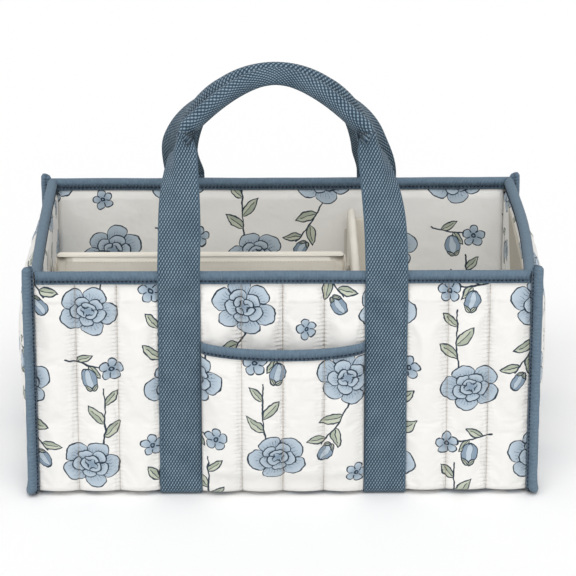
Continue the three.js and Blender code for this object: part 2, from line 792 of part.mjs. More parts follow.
// Stand the caddy with the middle of its footprint on the origin
const reach = new THREE.Box3().setFromObject(caddy);
caddy.position.y = -(reach.min.y + reach.max.y) / 2;

export default caddy;
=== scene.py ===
# Looks of a quilted caddy: padded print cloth, bias tape, folded webbing handles and lift-out dividers.
# Metres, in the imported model's frame: +X right, +Y back, +Z up.

import math

import bmesh
import bpy
import numpy as np
from mathutils import Matrix, Vector, noise


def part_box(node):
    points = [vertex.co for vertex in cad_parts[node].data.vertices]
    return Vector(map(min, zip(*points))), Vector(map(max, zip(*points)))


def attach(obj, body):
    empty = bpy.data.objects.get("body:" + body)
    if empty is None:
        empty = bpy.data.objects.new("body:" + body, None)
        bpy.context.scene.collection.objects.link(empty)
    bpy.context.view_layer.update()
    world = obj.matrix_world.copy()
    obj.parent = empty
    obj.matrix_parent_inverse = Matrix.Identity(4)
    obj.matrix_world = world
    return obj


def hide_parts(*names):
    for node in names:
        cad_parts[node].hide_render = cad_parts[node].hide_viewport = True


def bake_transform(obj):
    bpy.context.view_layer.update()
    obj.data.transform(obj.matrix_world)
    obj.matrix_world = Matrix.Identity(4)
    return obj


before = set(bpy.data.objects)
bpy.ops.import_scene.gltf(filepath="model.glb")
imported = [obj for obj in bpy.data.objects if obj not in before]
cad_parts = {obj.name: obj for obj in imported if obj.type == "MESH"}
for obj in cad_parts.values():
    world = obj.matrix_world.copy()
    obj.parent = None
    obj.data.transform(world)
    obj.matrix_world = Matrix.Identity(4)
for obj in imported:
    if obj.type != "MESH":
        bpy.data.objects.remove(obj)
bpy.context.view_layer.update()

MM = 0.001

# Body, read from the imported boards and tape
SEAM_TO_BOARD = 2.3 * MM
front_board_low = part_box("front_board")[0]
back_board_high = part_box("back_board")[1]
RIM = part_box("front_rim_tape")[1].z
MIDDLE_Y = (front_board_low.y + back_board_high.y) / 2
HALF_DEPTH = (back_board_high.y - front_board_low.y) / 2 + SEAM_TO_BOARD
HALF_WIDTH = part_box("right_board")[1].x + SEAM_TO_BOARD
GAP = 0.3 * MM

# Quilting
FRONT_CHANNELS = 12
SIDE_CHANNELS = 7
CHANNEL = 2 * HALF_WIDTH / FRONT_CHANNELS
FOLD_RADIUS = 6 * MM
FOLD_CENTRE = 7.9 * MM
PANEL_TOP = RIM - 1.5 * MM
PUFF = 4.3 * MM
PUFF_FADE = 14 * MM
SIDE_CROWN = 14 * MM
SEAM_SINK = 0.3 * MM

# Tape and bound corners
TAPE_HEIGHT = 9 * MM
TAPE_OUT = 1.5 * MM
TAPE_IN = -5.3 * MM
STITCH_DROP = 6.8 * MM
FLANGE_REACH = 9.5 * MM
FLANGE_THICKNESS = 6.3 * MM

# Webbing
WEBBING_WIDTH = 32 * MM
WEBBING_THICKNESS = 1.6 * MM
STRAP_CENTRE = 2.5 * CHANNEL
STRAP_OUT = 1.8 * MM + WEBBING_THICKNESS / 2
HINGE_OUT = HALF_DEPTH + STRAP_OUT
HINGE_HEIGHT = RIM + WEBBING_THICKNESS
FRONT_LEAN = math.radians(27)
BACK_LEAN = math.radians(38.5)
APEX_HEIGHT = 155.2 * MM
SWAY = 5 * MM

FLOAT_PITCH = 2.27
FLOAT_ROW = 1.98
CREASE_HEIGHT = 106 * MM
CREASE_SLOPE = 0.58
GRIP_BELLY = 3.3 * MM
GRIP_ROLL = math.radians(50)

# Lining
LINING_DROP = 6.1 * MM
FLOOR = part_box("base_lining")[1].z


class Line:
    """A line through points, read by the share of its length."""

    def __init__(self, points):
        self.points = np.array([tuple(point) for point in points], float)
        steps = np.linalg.norm(np.diff(self.points, axis=0), axis=1)
        self.runs = np.concatenate([[0], np.cumsum(steps)])
        self.length = self.runs[-1]

    def at(self, run):
        return [float(np.interp(run, self.runs, column)) for column in self.points.T]


class Wall:
    """One side of the body. A place is along it, out from the middle, and up."""

    def __init__(self, name, quarter, half, out, channels, bow=0.0):
        self.name, self.half, self.out, self.channels, self.bow = name, half, out, channels, bow
        self.cos = round(math.cos(quarter * math.pi / 2))
        self.sin = round(math.sin(quarter * math.pi / 2))
        self.print_start = quarter * 0.9

    def place(self, along, out, up):
        bowed = self.bow * math.cos(math.pi / 2 * max(-1, min(1, along / self.half)))
        out += bowed * max(0, up / RIM) ** 2
        x = along * self.cos + out * self.sin
        y = along * self.sin - out * self.cos
        return Vector((x, MIDDLE_Y + y, up))

    def outwards(self):
        return Vector((self.sin, -self.cos, 0))


FRONT = Wall("front", 0, HALF_WIDTH, HALF_DEPTH, FRONT_CHANNELS)
RIGHT = Wall("right", 1, HALF_DEPTH, HALF_WIDTH, SIDE_CHANNELS, bow=4 * MM)
BACK = Wall("back", 2, HALF_WIDTH, HALF_DEPTH, FRONT_CHANNELS)
LEFT = Wall("left", 3, HALF_DEPTH, HALF_WIDTH, SIDE_CHANNELS, bow=1 * MM)
WALLS = (FRONT, RIGHT, BACK, LEFT)


def ease(share):
    share = max(0.0, min(1.0, share))
    return share * share * (3 - 2 * share)


def mix(low, high, share):
    return low + (high - low) * share


def wobble(place, size, seed):
    """A smooth unevenness from -1 to 1, with waves of about the given size."""
    return noise.noise(Vector(place) / size + Vector((seed * 7.1, seed * 3.7, seed * 5.3)))


# Shader kit

class Value:
    """One value on a finish. Sums with it add their Math nodes."""

    def __init__(self, finish, socket):
        self.finish, self.socket = finish, socket

    def maths(self, operation, *values):
        inputs = dict(enumerate(values))
        return self.finish.node("ShaderNodeMath", {"operation": operation}, inputs)

    def __add__(self, other):
        return self.maths("ADD", self, other)

    __radd__ = __add__

    def __sub__(self, other):
        return self.maths("SUBTRACT", self, other)

    def __rsub__(self, other):
        return self.maths("SUBTRACT", other, self)

    def __mul__(self, other):
        return self.maths("MULTIPLY", self, other)

    __rmul__ = __mul__

    def __truediv__(self, other):
        return self.maths("DIVIDE", self, other)

    def __pow__(self, power):
        return self.maths("POWER", self, power)

    def __abs__(self):
        return self.maths("ABSOLUTE", self)

    def cosine(self):
        return self.maths("COSINE", self)

    def sine(self):
        return self.maths("SINE", self)

    def least(self, other):
        return self.maths("MINIMUM", self, other)

    def most(self, other):
        return self.maths("MAXIMUM", self, other)

    def repeat(self, size):
        return self.maths("WRAP", self, size, 0.0)

    def wrap(self, size):
        """The value wound round, from minus half a size to plus half."""
        return self.maths("WRAP", self, size / 2, -size / 2)

    def rise(self, low, high):
        """0 below low, 1 above high."""
        settings = {"interpolation_type": "LINEAR"}
        inputs = {"Value": self, "From Min": low, "From Max": high}
        return self.finish.node("ShaderNodeMapRange", settings, inputs)

    def line(self, width, soft=0.4):
        """1 where the value is within half a width of zero."""
        return 1 - abs(self).rise(width / 2, width / 2 * (1 + soft))

    def part(self, name):
        return Value(self.finish, self.socket.node.outputs[name])


class Finish:
    """A material, and the nodes that make it."""

    def __init__(self, name, roughness, slot, sheen=0.0):
        self.material = bpy.data.materials.new(name)
        self.material.use_nodes = True
        self.tree = self.material.node_tree
        self.shader = self.tree.nodes["Principled BSDF"]
        self.shader.inputs["Roughness"].default_value = roughness
        self.shader.inputs["Sheen Weight"].default_value = sheen
        self.shader.inputs["Sheen Roughness"].default_value = 0.5
        self.shader.inputs["Specular IOR Level"].default_value = 0.25
        self.slot = slot

    def feed(self, socket, value):
        if isinstance(value, Value):
            self.tree.links.new(value.socket, socket)
        elif socket.type == "RGBA":
            socket.default_value = (*value[:3], 1.0)
        else:
            socket.default_value = value

    def node(self, kind, settings=None, inputs=None, output=0):
        made = self.tree.nodes.new(kind)
        for key, value in (settings or {}).items():
            setattr(made, key, value)
        for key, value in (inputs or {}).items():
            self.feed(made.inputs[key], value)
        return Value(self, made.outputs[output])

    def shade(self, name, value):
        self.feed(self.shader.inputs[name], value)

    def blend(self, factor, low, high, kind="MIX"):
        settings = {"data_type": "RGBA", "blend_type": kind}
        return self.node("ShaderNodeMix", settings, {0: factor, 6: low, 7: high}, output=2)

    def cloth_place(self, layer="cloth", scale=1000.0):
        """The cloth's own place, in millimetres."""
        uv = self.node("ShaderNodeUVMap", {"uv_map": layer})
        return self.node("ShaderNodeVectorMath", {"operation": "SCALE"}, {0: uv, "Scale": scale})

    def split(self, vector):
        x = self.node("ShaderNodeSeparateXYZ", inputs={0: vector})
        return x, x.part("Y")

    def moved(self, vector, centre, turn, size=1.0):
        """The place seen from a motif that lies at centre, turned and sized."""
        cos, sin = math.cos(-turn) / size, math.sin(-turn) / size
        x, y = centre
        shift = (-(x * cos - y * sin), -(x * sin + y * cos), 0)
        inputs = {"Vector": vector, "Location": shift, "Rotation": (0, 0, -turn), "Scale": (1 / size,) * 3}
        return self.node("ShaderNodeMapping", {"vector_type": "POINT"}, inputs)

    def fog(self, vector, scale, detail=2.0, roughness=0.5):
        inputs = {"Vector": vector, "Scale": scale, "Detail": detail, "Roughness": roughness}
        return self.node("ShaderNodeTexNoise", {"noise_dimensions": "3D"}, inputs)

    def bump(self, height, depth, normal=None):
        inputs = {"Height": height, "Distance": depth, "Strength": 1.0}
        if normal is not None:
            inputs["Normal"] = normal
        return self.node("ShaderNodeBump", None, inputs)


def colour(red, green, blue):
    """A colour as seen on screen, 0 to 255, in the shader's own linear values."""
    def linear(value):
        share = value / 255
        return share / 12.92 if share <= 0.04045 else ((share + 0.055) / 1.055) ** 2.4
    return (linear(red), linear(green), linear(blue))


# The floral print: wild roses, small blossoms, buds and smooth leaves in a half-drop repeat

INK = colour(42, 56, 70)
PETAL_TIP = colour(188, 202, 213)
PETAL_HEART = colour(136, 155, 173)
LEAF_GREEN = colour(196, 201, 184)
LEAF_SHADE = colour(172, 180, 163)
REPEAT_WIDTH = 112.0
REPEAT_HEIGHT = 124.0
PEN = 0.85


class Print:
    """Motifs laid one over another on the cloth, in millimetres."""

    def __init__(self, finish, ground):
        self.finish = finish
        place = finish.cloth_place()
        shake = finish.fog(place, 0.11, 2.0)
        shaken = finish.node(
            "ShaderNodeVectorMath", {"operation": "MULTIPLY_ADD"},
            {0: shake.part("Color"), 1: (4.2, 4.2, 0), 2: place})
        x, y = finish.split(shaken)
        column = (x / REPEAT_WIDTH).maths("FLOOR", x / REPEAT_WIDTH)
        odd = column.repeat(2.0)
        across = x.repeat(REPEAT_WIDTH)
        across = across + odd * (REPEAT_WIDTH - across * 2)
        up = (y + odd * (REPEAT_HEIGHT * 0.5)).repeat(REPEAT_HEIGHT)
        self.place = finish.node("ShaderNodeCombineXYZ", inputs={"X": across, "Y": up})
        self.grain = finish.fog(place, 0.5, 3.0)
        self.colour = ground

    def lay(self, mask, shade):
        self.colour = self.finish.blend(mask, self.colour, shade)

    def stem(self, start, turn, length, bend):
        """A stem from start, curving to one side by bend at its end."""
        x, y = self.finish.split(self.finish.moved(self.place, start, turn))
        curve = y - x * x * (bend / length ** 2)
        ends = abs(x - length / 2) - length / 2
        self.lay(curve.line(PEN * 1.25).least(1 - ends.rise(0.0, 0.3)), INK)

    def leaf(self, base, turn, length, width):
        x, y = self.finish.split(self.finish.moved(self.place, base, turn, length))
        half = x.most(0.0) ** 0.75 * (1 - x) * (width / length * 1.9)
        edge = half - abs(y)
        pen = PEN / length
        self.lay(edge.rise(0.0, pen * 0.5), self.finish.blend(y.rise(-0.02, 0.02), LEAF_GREEN, LEAF_SHADE))
        vein = y.line(pen * 0.6).least(x.rise(0.05, 0.1)).least(1 - x.rise(0.75, 0.8))
        self.lay(edge.line(pen).most(vein).least(x.rise(-0.01, 0.0)), INK)

    def petals(self, angle, reach, count, turn, size, notch, heart):
        """One ring of petals, drawn over what lies under it."""
        fold = abs((angle * (count / 2) + turn).cosine())
        rim = (fold ** 0.55 * notch + (1 - notch)) * size
        inside = rim - reach
        fill = inside.rise(0.0, 0.3)
        tone = self.finish.blend((reach / size).rise(heart, 0.95), PETAL_HEART, PETAL_TIP)
        self.lay(fill, tone)
        seam = (fold * reach * (2 / count)).line(PEN * 0.9).least(fill).least(reach.rise(size * 0.3, size * 0.36))
        self.lay(inside.line(PEN).most(seam), INK)
        return fold, fill

    def veins(self, angle, reach, count, low, high):
        """Fine strokes from the foot of the petals."""
        uneven = self.grain * (high - low) * 1.6 + (low - high) * 0.5
        stroke = (angle * count + self.grain * 3).sine() * reach * (2.5 / count)
        band = (reach + uneven).rise(low - 1, low).least(1 - (reach + uneven).rise(high - 1, high))
        self.lay(stroke.line(PEN * 0.6).least(band) * 0.8, INK)

    def bloom(self, centre, turn, size, counts=(6, 5, 4)):
        """A wild rose: three rings of petals round a ring of stamens."""
        here = self.finish.moved(self.place, centre, turn)
        x, y = self.finish.split(here)
        angle = y.maths("ARCTAN2", y, x)
        swell = (angle * 2 + turn * 3).sine() * 0.1 + 1
        reach = self.finish.node("ShaderNodeVectorMath", {"operation": "LENGTH"}, {0: here}).part("Value") / swell
        outer, fill = self.petals(angle, reach, counts[0], turn, size, 0.3, 0.25)
        self.veins(angle, reach, counts[0] * 3.5, size * 0.6, size * 0.84)
        self.petals(angle, reach, counts[1], turn + 0.9, size * 0.62, 0.28, 0.3)
        self.veins(angle, reach, counts[1] * 2.5, size * 0.36, size * 0.5)
        self.petals(angle, reach, counts[2], turn + 2.1, size * 0.36, 0.24, 0.2)
        dots = ((angle * 4).cosine() * 0.9 + reach * 0.9 - size * 0.17).line(PEN * 1.1)
        self.lay(dots.least(1 - reach.rise(size * 0.2, size * 0.23)), INK)

    def blossom(self, centre, turn, size):
        """A small open flower with five petals."""
        here = self.finish.moved(self.place, centre, turn)
        x, y = self.finish.split(here)
        angle = y.maths("ARCTAN2", y, x)
        reach = self.finish.node("ShaderNodeVectorMath", {"operation": "LENGTH"}, {0: here}).part("Value")
        self.petals(angle, reach, 5, turn, size, 0.42, 0.1)
        self.lay((reach - size * 0.16).line(PEN * 1.2), INK)

    def bud(self, centre, turn, size):
        """A closed bud on its two small sepals."""
        here = self.finish.moved(self.place, centre, turn, size)
        pen = PEN / size

        def egg(narrow, shift):
            scaled = self.finish.node(
                "ShaderNodeVectorMath", {"operation": "MULTIPLY_ADD"},
                {0: here, 1: (1, narrow, 0), 2: (shift, 0, 0)})
            return self.finish.node("ShaderNodeVectorMath", {"operation": "LENGTH"}, {0: scaled}).part("Value") - 1

        body, heart = egg(1.45, 0), egg(3.4, 0.04)
        self.lay(1 - body.rise(-0.05, 0.0), self.finish.blend(heart.rise(-0.3, 0.3), PETAL_TIP, PETAL_HEART))
        self.lay(body.line(pen).most(heart.line(pen * 0.8).least(1 - body.rise(-0.05, 0.0))), INK)
        turned = turn + math.pi
        tail = (centre[0] - math.cos(turn) * size * 1.12, centre[1] - math.sin(turn) * size * 1.12)
        for side in (-0.75, 0.75):
            self.leaf(tail, turned + math.pi + side, size * 0.85, size * 0.32)

    def sprig(self, start, turn, length, bend, leaves):
        """A curved stem with its leaves, given as share along, side and size."""
        for share, side, size in leaves:
            x, y = share * length, bend * share * share
            base = (
                start[0] + x * math.cos(turn) - y * math.sin(turn),
                start[1] + x * math.sin(turn) + y * math.cos(turn))
            slope = turn + math.atan2(2 * bend * share, length)
            self.leaf(base, slope + side * 0.75, size, size * 0.36)
        self.stem(start, turn, length, bend)


def lay_floral(finish, ground):
    """The whole repeat, from the stems up to the blooms."""
    floral = Print(finish, ground)
    floral.sprig((24, 76), -1.2, 44, 8, ((0.35, 1, 19), (0.62, -1, 17), (0.86, 1, 15)))
    floral.sprig((86, 22), 1.35, 66, 10, ((0.42, -1, 18), (0.58, 1, 19), (0.8, -1, 15)))
    floral.sprig((62, 112), -0.35, 30, 5, ((0.3, 1, 14), (0.62, -1, 13)))
    floral.bud((80, 96), 1.75, 8.5)
    floral.bud((44, 31), -1.0, 7.5)
    floral.blossom((97, 104), 0.4, 9)
    floral.bloom((27, 92), 0.5, 22.5)
    floral.bloom((80, 27), 1.9, 20.5, counts=(5, 5, 3))
    floral.blossom((20, 12), 1.0, 8)
    return floral.colour


# Finishes

def cloth_weave(finish, place, pitch, depth):
    """A plain weave's fine relief, in threads of the given pitch."""
    x, y = finish.split(place)
    over = (x * (2 * math.pi / pitch)).sine() * (y * (2 * math.pi / pitch)).sine()
    return finish.bump(over, depth)


def puckers(finish, base, depth):
    """Fine gathers beside each quilting seam, square to it and fading away from it."""
    quilt = finish.cloth_place("quilt", 1.0)
    turn, up = finish.split(quilt)
    left, right = turn.repeat(1.0), 1 - turn.repeat(1.0)
    haze = finish.fog(quilt, 60.0, 2.0)
    waves = (up * (2 * math.pi / (3.2 * MM)) + haze * 6).sine()
    patchy = finish.fog(quilt, 14.0, 1.0).rise(0.25, 0.6)
    fade = ((1 - right.rise(0.02, 0.36)) ** 2).most((1 - left.rise(0.02, 0.22)) ** 2 * 0.6)
    return finish.bump(waves * fade * patchy, depth, base)


def seam_shade(finish, shade):
    """Painted shade along the quilting seams: a soft darker band over each groove, and a thin darker line at the seam
    itself.
    """
    turn, up = finish.split(finish.cloth_place("quilt", 1.0))
    near = 0.5 - abs(turn.repeat(1.0) - 0.5)
    shade = finish.blend((1 - near.rise(0.0, 0.06)) * 0.12, shade, colour(150, 138, 122))
    return finish.blend((1 - near.rise(0.007, 0.014)) * 0.35, shade, colour(150, 132, 112))


def make_quilted():
    finish = Finish("quilted_print", 0.85, "quilted_cloth", sheen=0.12)
    place = finish.cloth_place()
    ground = finish.blend(finish.fog(place, 0.03, 3.0), colour(241, 240, 237), colour(235, 233, 229))
    finish.shade("Base Color", seam_shade(finish, lay_floral(finish, ground)))
    finish.shade("Normal", puckers(finish, cloth_weave(finish, place, 0.9, 0.04 * MM), 0.38 * MM))
    return finish


def make_lining():
    finish = Finish("lining_print", 0.88, "lining_cloth", sheen=0.08)
    place = finish.cloth_place()
    ground = finish.blend(finish.fog(place, 0.03, 3.0), colour(247, 246, 243), colour(241, 239, 235))
    finish.shade("Base Color", lay_floral(finish, ground))
    creases = finish.bump(finish.fog(place, 0.035, 3.0, 0.55), 1.6 * MM, cloth_weave(finish, place, 0.9, 0.04 * MM))
    finish.shade("Normal", creases)
    return finish


def make_bias():
    """Bias tape: a fine slanting twill, gathered where it is sewn. Its colour carries a painted highlight on the roll
    and painted shade in the gathers and beside the stitch line.
    """
    finish = Finish("bias_tape", 0.72, "bias_tape", sheen=0.08)
    place = finish.cloth_place()
    x, y = finish.split(place)
    seam, along = finish.split(finish.cloth_place("seam"))
    twill = ((x + y) * (2 * math.pi / 0.8)).sine()
    worn = finish.fog(place, 0.22, 4.0, 0.6)
    shade = finish.blend(worn.rise(0.3, 0.75), colour(84, 105, 123), colour(106, 127, 144))
    shade = finish.blend(twill.rise(-1.0, 1.0) * 0.3, shade, colour(76, 95, 113))
    # Painted highlight: the top of the roll, far from the stitch line, is made lighter.
    shade = finish.blend(abs(seam).rise(2.5, 6.5) * 0.4, shade, colour(118, 140, 156))
    gather = (y * (2 * math.pi / 2.9) + finish.fog(place, 0.12, 2.0) * 6).sine()
    near_stitch = 1 - abs(seam).rise(0.4, 4.5)
    # Painted shade in the folds of the gathers, strongest beside the stitch line.
    shade = finish.blend(gather.rise(-0.2, 1.0) * (near_stitch * 0.3 + 0.1), shade, colour(66, 86, 104))
    # Painted shade in the pinched groove along the stitch line.
    groove_shade = 1 - abs(seam).rise(0.4, 1.8)
    finish.shade("Base Color", finish.blend(groove_shade * 0.4, shade, colour(42, 56, 72)))
    ribs = finish.bump(gather * (near_stitch * 0.65 + 0.35), 0.55 * MM, finish.bump(twill, 0.03 * MM))
    finish.shade("Normal", ribs)
    return finish


def make_webbing():
    """Woven webbing: staggered rows of steep slanting floats with dark gaps between them, partly the weave's own
    pattern and partly painted light and shade.
    """
    finish = Finish("webbing_weave", 0.7, "webbing", sheen=0.06)
    place = finish.cloth_place()
    x, y = finish.split(place)
    x = x + finish.fog(place, 0.35, 2.0) * 0.6
    floats = []
    for step in (0, 1):
        side = (x + step * FLOAT_PITCH / 2).wrap(FLOAT_PITCH)
        rise = (y + step * FLOAT_ROW).wrap(FLOAT_ROW * 2)
        across = (side + rise * 0.2) / 0.56
        height = rise / 1.06
        floats.append(1 - across * across - height * height)
    eye = floats[0].most(floats[1]).rise(-0.1, 0.45)
    strands = ((x * 2 + y) * (2 * math.pi / 0.9)).sine() * 0.5 + 0.5
    patch = finish.fog(place, 0.06, 3.0).rise(0.3, 0.7)
    # Part weave pattern, part painted light: the floats are coloured as lit and the gaps between them as shaded.
    dark = finish.blend(patch, colour(46, 65, 82), colour(58, 78, 95))
    bright = finish.blend(patch, colour(128, 152, 168), colour(148, 171, 186))
    bright = finish.blend(strands * 0.25, bright, colour(96, 120, 137))
    selvedge = abs(x - 0.35).rise(14.4, 14.8) * 0.6
    body = finish.blend(eye, dark, bright)
    finish.shade("Base Color", finish.blend(selvedge, body, colour(78, 101, 118)))
    finish.shade("Normal", finish.bump(eye + strands * 0.15, 0.4 * MM))
    return finish


def make_divider_cloth():
    finish = Finish("divider_cloth", 0.9, "divider_cloth", sheen=0.1)
    place = finish.cloth_place()
    shade = finish.blend(finish.fog(place, 0.04, 4.0), colour(243, 238, 227), colour(235, 228, 214))
    finish.shade("Base Color", shade)
    soft = finish.bump(finish.fog(place, 0.05, 3.0, 0.5), 1.2 * MM, cloth_weave(finish, place, 0.8, 0.05 * MM))
    finish.shade("Normal", soft)
    return finish


def make_thread(name, slot, shade):
    finish = Finish(name, 0.6, slot, sheen=0.1)
    object_place = finish.node("ShaderNodeTexCoord").part("Object")
    twist = finish.fog(object_place, 2500.0, 1.0)
    finish.shade("Base Color", finish.blend(twist, shade, tuple(value * 0.72 for value in shade)))
    return finish


def make_fastening():
    """Hook and loop tape: a short matted pile."""
    finish = Finish("hook_and_loop", 0.95, "fastening_tape", sheen=0.3)
    object_place = finish.node("ShaderNodeTexCoord").part("Object")
    pile = finish.fog(object_place, 1400.0, 3.0, 0.7)
    finish.shade("Base Color", finish.blend(pile, colour(238, 234, 226), colour(214, 208, 197)))
    finish.shade("Normal", finish.bump(pile, 0.5 * MM))
    return finish


def make_board():
    """Grey stiffener board with pressed fibres."""
    finish = Finish("stiffener_board", 0.85, "stiffener")
    object_place = finish.node("ShaderNodeTexCoord").part("Object")
    fibre = finish.fog(object_place, 300.0, 6.0, 0.6)
    finish.shade("Base Color", finish.blend(fibre, colour(205, 198, 184), colour(188, 181, 167)))
    finish.shade("Normal", finish.bump(fibre, 0.2 * MM))
    return finish


quilted = make_quilted()
lining = make_lining()
bias = make_bias()
webbing = make_webbing()
divider_cloth = make_divider_cloth()
fastening = make_fastening()
board = make_board()
quilt_thread = make_thread("quilting_thread", "quilted_cloth", colour(172, 150, 122))
tape_thread = make_thread("tape_thread", "bias_tape", colour(24, 38, 58))
strap_thread = make_thread("strap_thread", "webbing", colour(60, 80, 98))
cream_thread = make_thread("cream_thread", "divider_cloth", colour(236, 228, 210))


# Making pieces

def as_piece(name, mesh, finish, body, smooth=True):
    data = bpy.data.meshes.new(name)
    mesh.to_mesh(data)
    mesh.free()
    data.materials.append(finish.material)
    data.polygons.foreach_set("use_smooth", [smooth] * len(data.polygons))
    piece = bpy.data.objects.new(name, data)
    bpy.context.scene.collection.objects.link(piece)
    if body:
        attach(piece, body)
    return piece


def cloth_grid(across, along, shape, tube=False, turn_ends=False):
    """A flat grid of cloth, each corner moved to where shape puts it.

    Shape takes the shares across and along, and gives the place, then the cloth's own place on
    each of its maps by name. A tube's two long edges meet, and its ends are closed."""
    mesh = bmesh.new()
    bmesh.ops.create_grid(mesh, x_segments=across, y_segments=along, size=0.5)
    marks = {}
    for vert in mesh.verts:
        place, maps = shape(vert.co.x + 0.5, vert.co.y + 0.5)
        vert.co = place
        marks[vert] = maps
    for name in next(iter(marks.values())):
        layer = mesh.loops.layers.uv.new(name)
        for face in mesh.faces:
            for loop in face.loops:
                loop[layer].uv = marks[loop.vert][name]
    if tube:
        bmesh.ops.remove_doubles(mesh, verts=mesh.verts, dist=1e-6)
        ends = [edge for edge in mesh.edges if edge.is_boundary]
        bmesh.ops.holes_fill(mesh, edges=ends)
        bmesh.ops.recalc_face_normals(mesh, faces=mesh.faces)
    return mesh


def thicken(piece, thickness):
    solid = piece.modifiers.new("thickness", "SOLIDIFY")
    solid.thickness = thickness
    solid.offset = -1
    return piece


def settle(piece, held, pressure, give, reach, frames=14):
    """Lets the padded cloth swell and gather between its seams. Held corners stay, others move up to reach."""
    rest = np.array([vert.co for vert in piece.data.vertices])
    group = piece.vertex_groups.new(name="sewn_down")
    group.add([int(index) for index in held], 1.0, "REPLACE")
    cloth = piece.modifiers.new("settle", "CLOTH")
    cloth.settings.vertex_group_mass = "sewn_down"
    cloth.settings.quality = 4
    cloth.settings.mass = 0.15
    cloth.settings.tension_stiffness = 15
    cloth.settings.compression_stiffness = 15
    cloth.settings.shear_stiffness = 5
    cloth.settings.bending_stiffness = 0.05
    cloth.settings.use_pressure = True
    cloth.settings.uniform_pressure_force = pressure
    cloth.settings.shrink_min = -give
    cloth.settings.effector_weights.gravity = 0
    cloth.collision_settings.use_collision = False
    scene = bpy.context.scene
    for number in range(1, frames + 1):
        scene.frame_set(number)
    shown = piece.evaluated_get(bpy.context.evaluated_depsgraph_get())
    moved = np.array([vert.co for vert in shown.data.vertices]) - rest
    piece.modifiers.remove(cloth)
    piece.vertex_groups.remove(group)
    scene.frame_set(1)
    far = np.linalg.norm(moved, axis=1)
    share = np.minimum(1, reach / np.maximum(far, 1e-9))
    piece.data.vertices.foreach_set("co", (rest + moved * share[:, None]).ravel())
    piece.data.update()


def stitch_shape():
    """One stitch: a small closed bead, a unit long to each side."""
    mesh = bmesh.new()
    bmesh.ops.create_uvsphere(mesh, u_segments=6, v_segments=4, radius=1)
    data = bpy.data.meshes.new("stitch")
    mesh.to_mesh(data)
    mesh.free()
    corners = np.empty(3 * len(data.vertices))
    data.vertices.foreach_get("co", corners)
    return data, corners


stitch, stitch_corners = stitch_shape()


def sew(name, runs, finish, body, length=1.7 * MM, pitch=2.4 * MM, thickness=0.26 * MM):
    """Rows of stitches. A run is a line of places, and the way that the cloth faces there."""
    rows = bmesh.new()
    for points, facing in runs:
        line = Line(points)
        row = bmesh.new()
        count = max(1, int(line.length / pitch))
        for index in range(count):
            run = (index + 0.5) * line.length / count
            low, high = Vector(line.at(run - length / 2)), Vector(line.at(run + length / 2))
            middle = Vector(line.at(run))
            if (high - low).length < 1e-6:
                continue
            up = facing(middle) if callable(facing) else facing
            forward = (high - low).normalized()
            side = up.cross(forward).normalized()
            turn = Matrix((forward, side, forward.cross(side))).transposed().to_4x4()
            size = Matrix.Diagonal((length / 2, thickness, thickness * 0.8, 1))
            stitch.vertices.foreach_set("co", stitch_corners)
            stitch.transform(Matrix.Translation(middle) @ turn @ size)
            row.from_mesh(stitch)
        row.to_mesh(row_data := bpy.data.meshes.new("row"))
        row.free()
        rows.from_mesh(row_data)
        bpy.data.meshes.remove(row_data)
    return as_piece(name, rows, finish, body)


# Quilted panels

def channel_puff(turn, power=0.62):
    return abs(math.sin(math.pi * turn)) ** power


def under_strap(along):
    return abs(abs(along) - STRAP_CENTRE) < WEBBING_WIDTH / 2 + GAP


FOLD_QUARTER = FOLD_RADIUS * math.pi / 4
PANEL_RUN = FOLD_QUARTER + PANEL_TOP - FOLD_CENTRE
ROWS_FINE = 112


def body_surface(wall, along, run, offset):
    """A place on the front or back: it curls under at the foot."""
    if run < FOLD_QUARTER:
        angle = math.pi / 4 * (1 - run / FOLD_QUARTER)
        radius = FOLD_RADIUS + offset
        out = wall.out - FOLD_RADIUS + radius * math.cos(angle)
        return wall.place(along, out, FOLD_CENTRE - radius * math.sin(angle))
    return wall.place(along, wall.out + offset, FOLD_CENTRE + run - FOLD_QUARTER)


def body_offset(wall, along, run, fine=True):
    low = ease((run + 3 * MM) / (9 * MM))
    high = ease((PANEL_RUN - TAPE_HEIGHT + 1.5 * MM - run) / PUFF_FADE)
    if under_strap(along):
        return -SEAM_SINK
    turn = (along + wall.half) / (2 * wall.half) * wall.channels
    uneven = 1 + 0.16 * wobble((along, run, wall.cos), 45 * MM, 1) if fine else 1
    return PUFF * channel_puff(turn) * low * high * uneven - SEAM_SINK


def body_panel(wall):
    columns = wall.channels * 22

    def shape(across, up):
        along = mix(-1, 1, across) * (wall.half - GAP)
        run = mix(GAP, PANEL_RUN, up)
        place = body_surface(wall, along, run, body_offset(wall, along, run))
        turn = (along + wall.half) / (2 * wall.half) * wall.channels
        return place, {"cloth": (along + wall.print_start, run), "quilt": (turn, run)}

    mesh = cloth_grid(columns, ROWS_FINE, shape)
    held = [
        vert.index for vert in mesh.verts
        if vert.index % (columns + 1) % 22 == 0
        or vert.index // (columns + 1) in (0, 1, ROWS_FINE - 7, ROWS_FINE - 6, ROWS_FINE - 5, ROWS_FINE)
        or under_strap(mix(-1, 1, vert.index % (columns + 1) / columns) * wall.half)]
    piece = as_piece(f"{wall.name}_quilting", mesh, quilted, None)
    settle(piece, held, 2.0, 0.012, 1.1 * MM)
    thicken(piece, 1.6 * MM)
    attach(piece, "shell")
    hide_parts(f"{wall.name}_panel")

    seams = []
    for number in range(1, wall.channels):
        along = mix(-wall.half, wall.half, number / wall.channels)
        if abs(abs(along) - STRAP_CENTRE) < WEBBING_WIDTH / 2 + 1 * MM:
            continue
        runs = np.linspace(FOLD_QUARTER, PANEL_RUN - TAPE_HEIGHT, 60)
        points = [body_surface(wall, along, run, 0.1 * MM - SEAM_SINK) for run in runs]
        seams.append((points, wall.outwards()))
    sew(f"{wall.name}_quilting_thread", seams, quilt_thread, "shell")


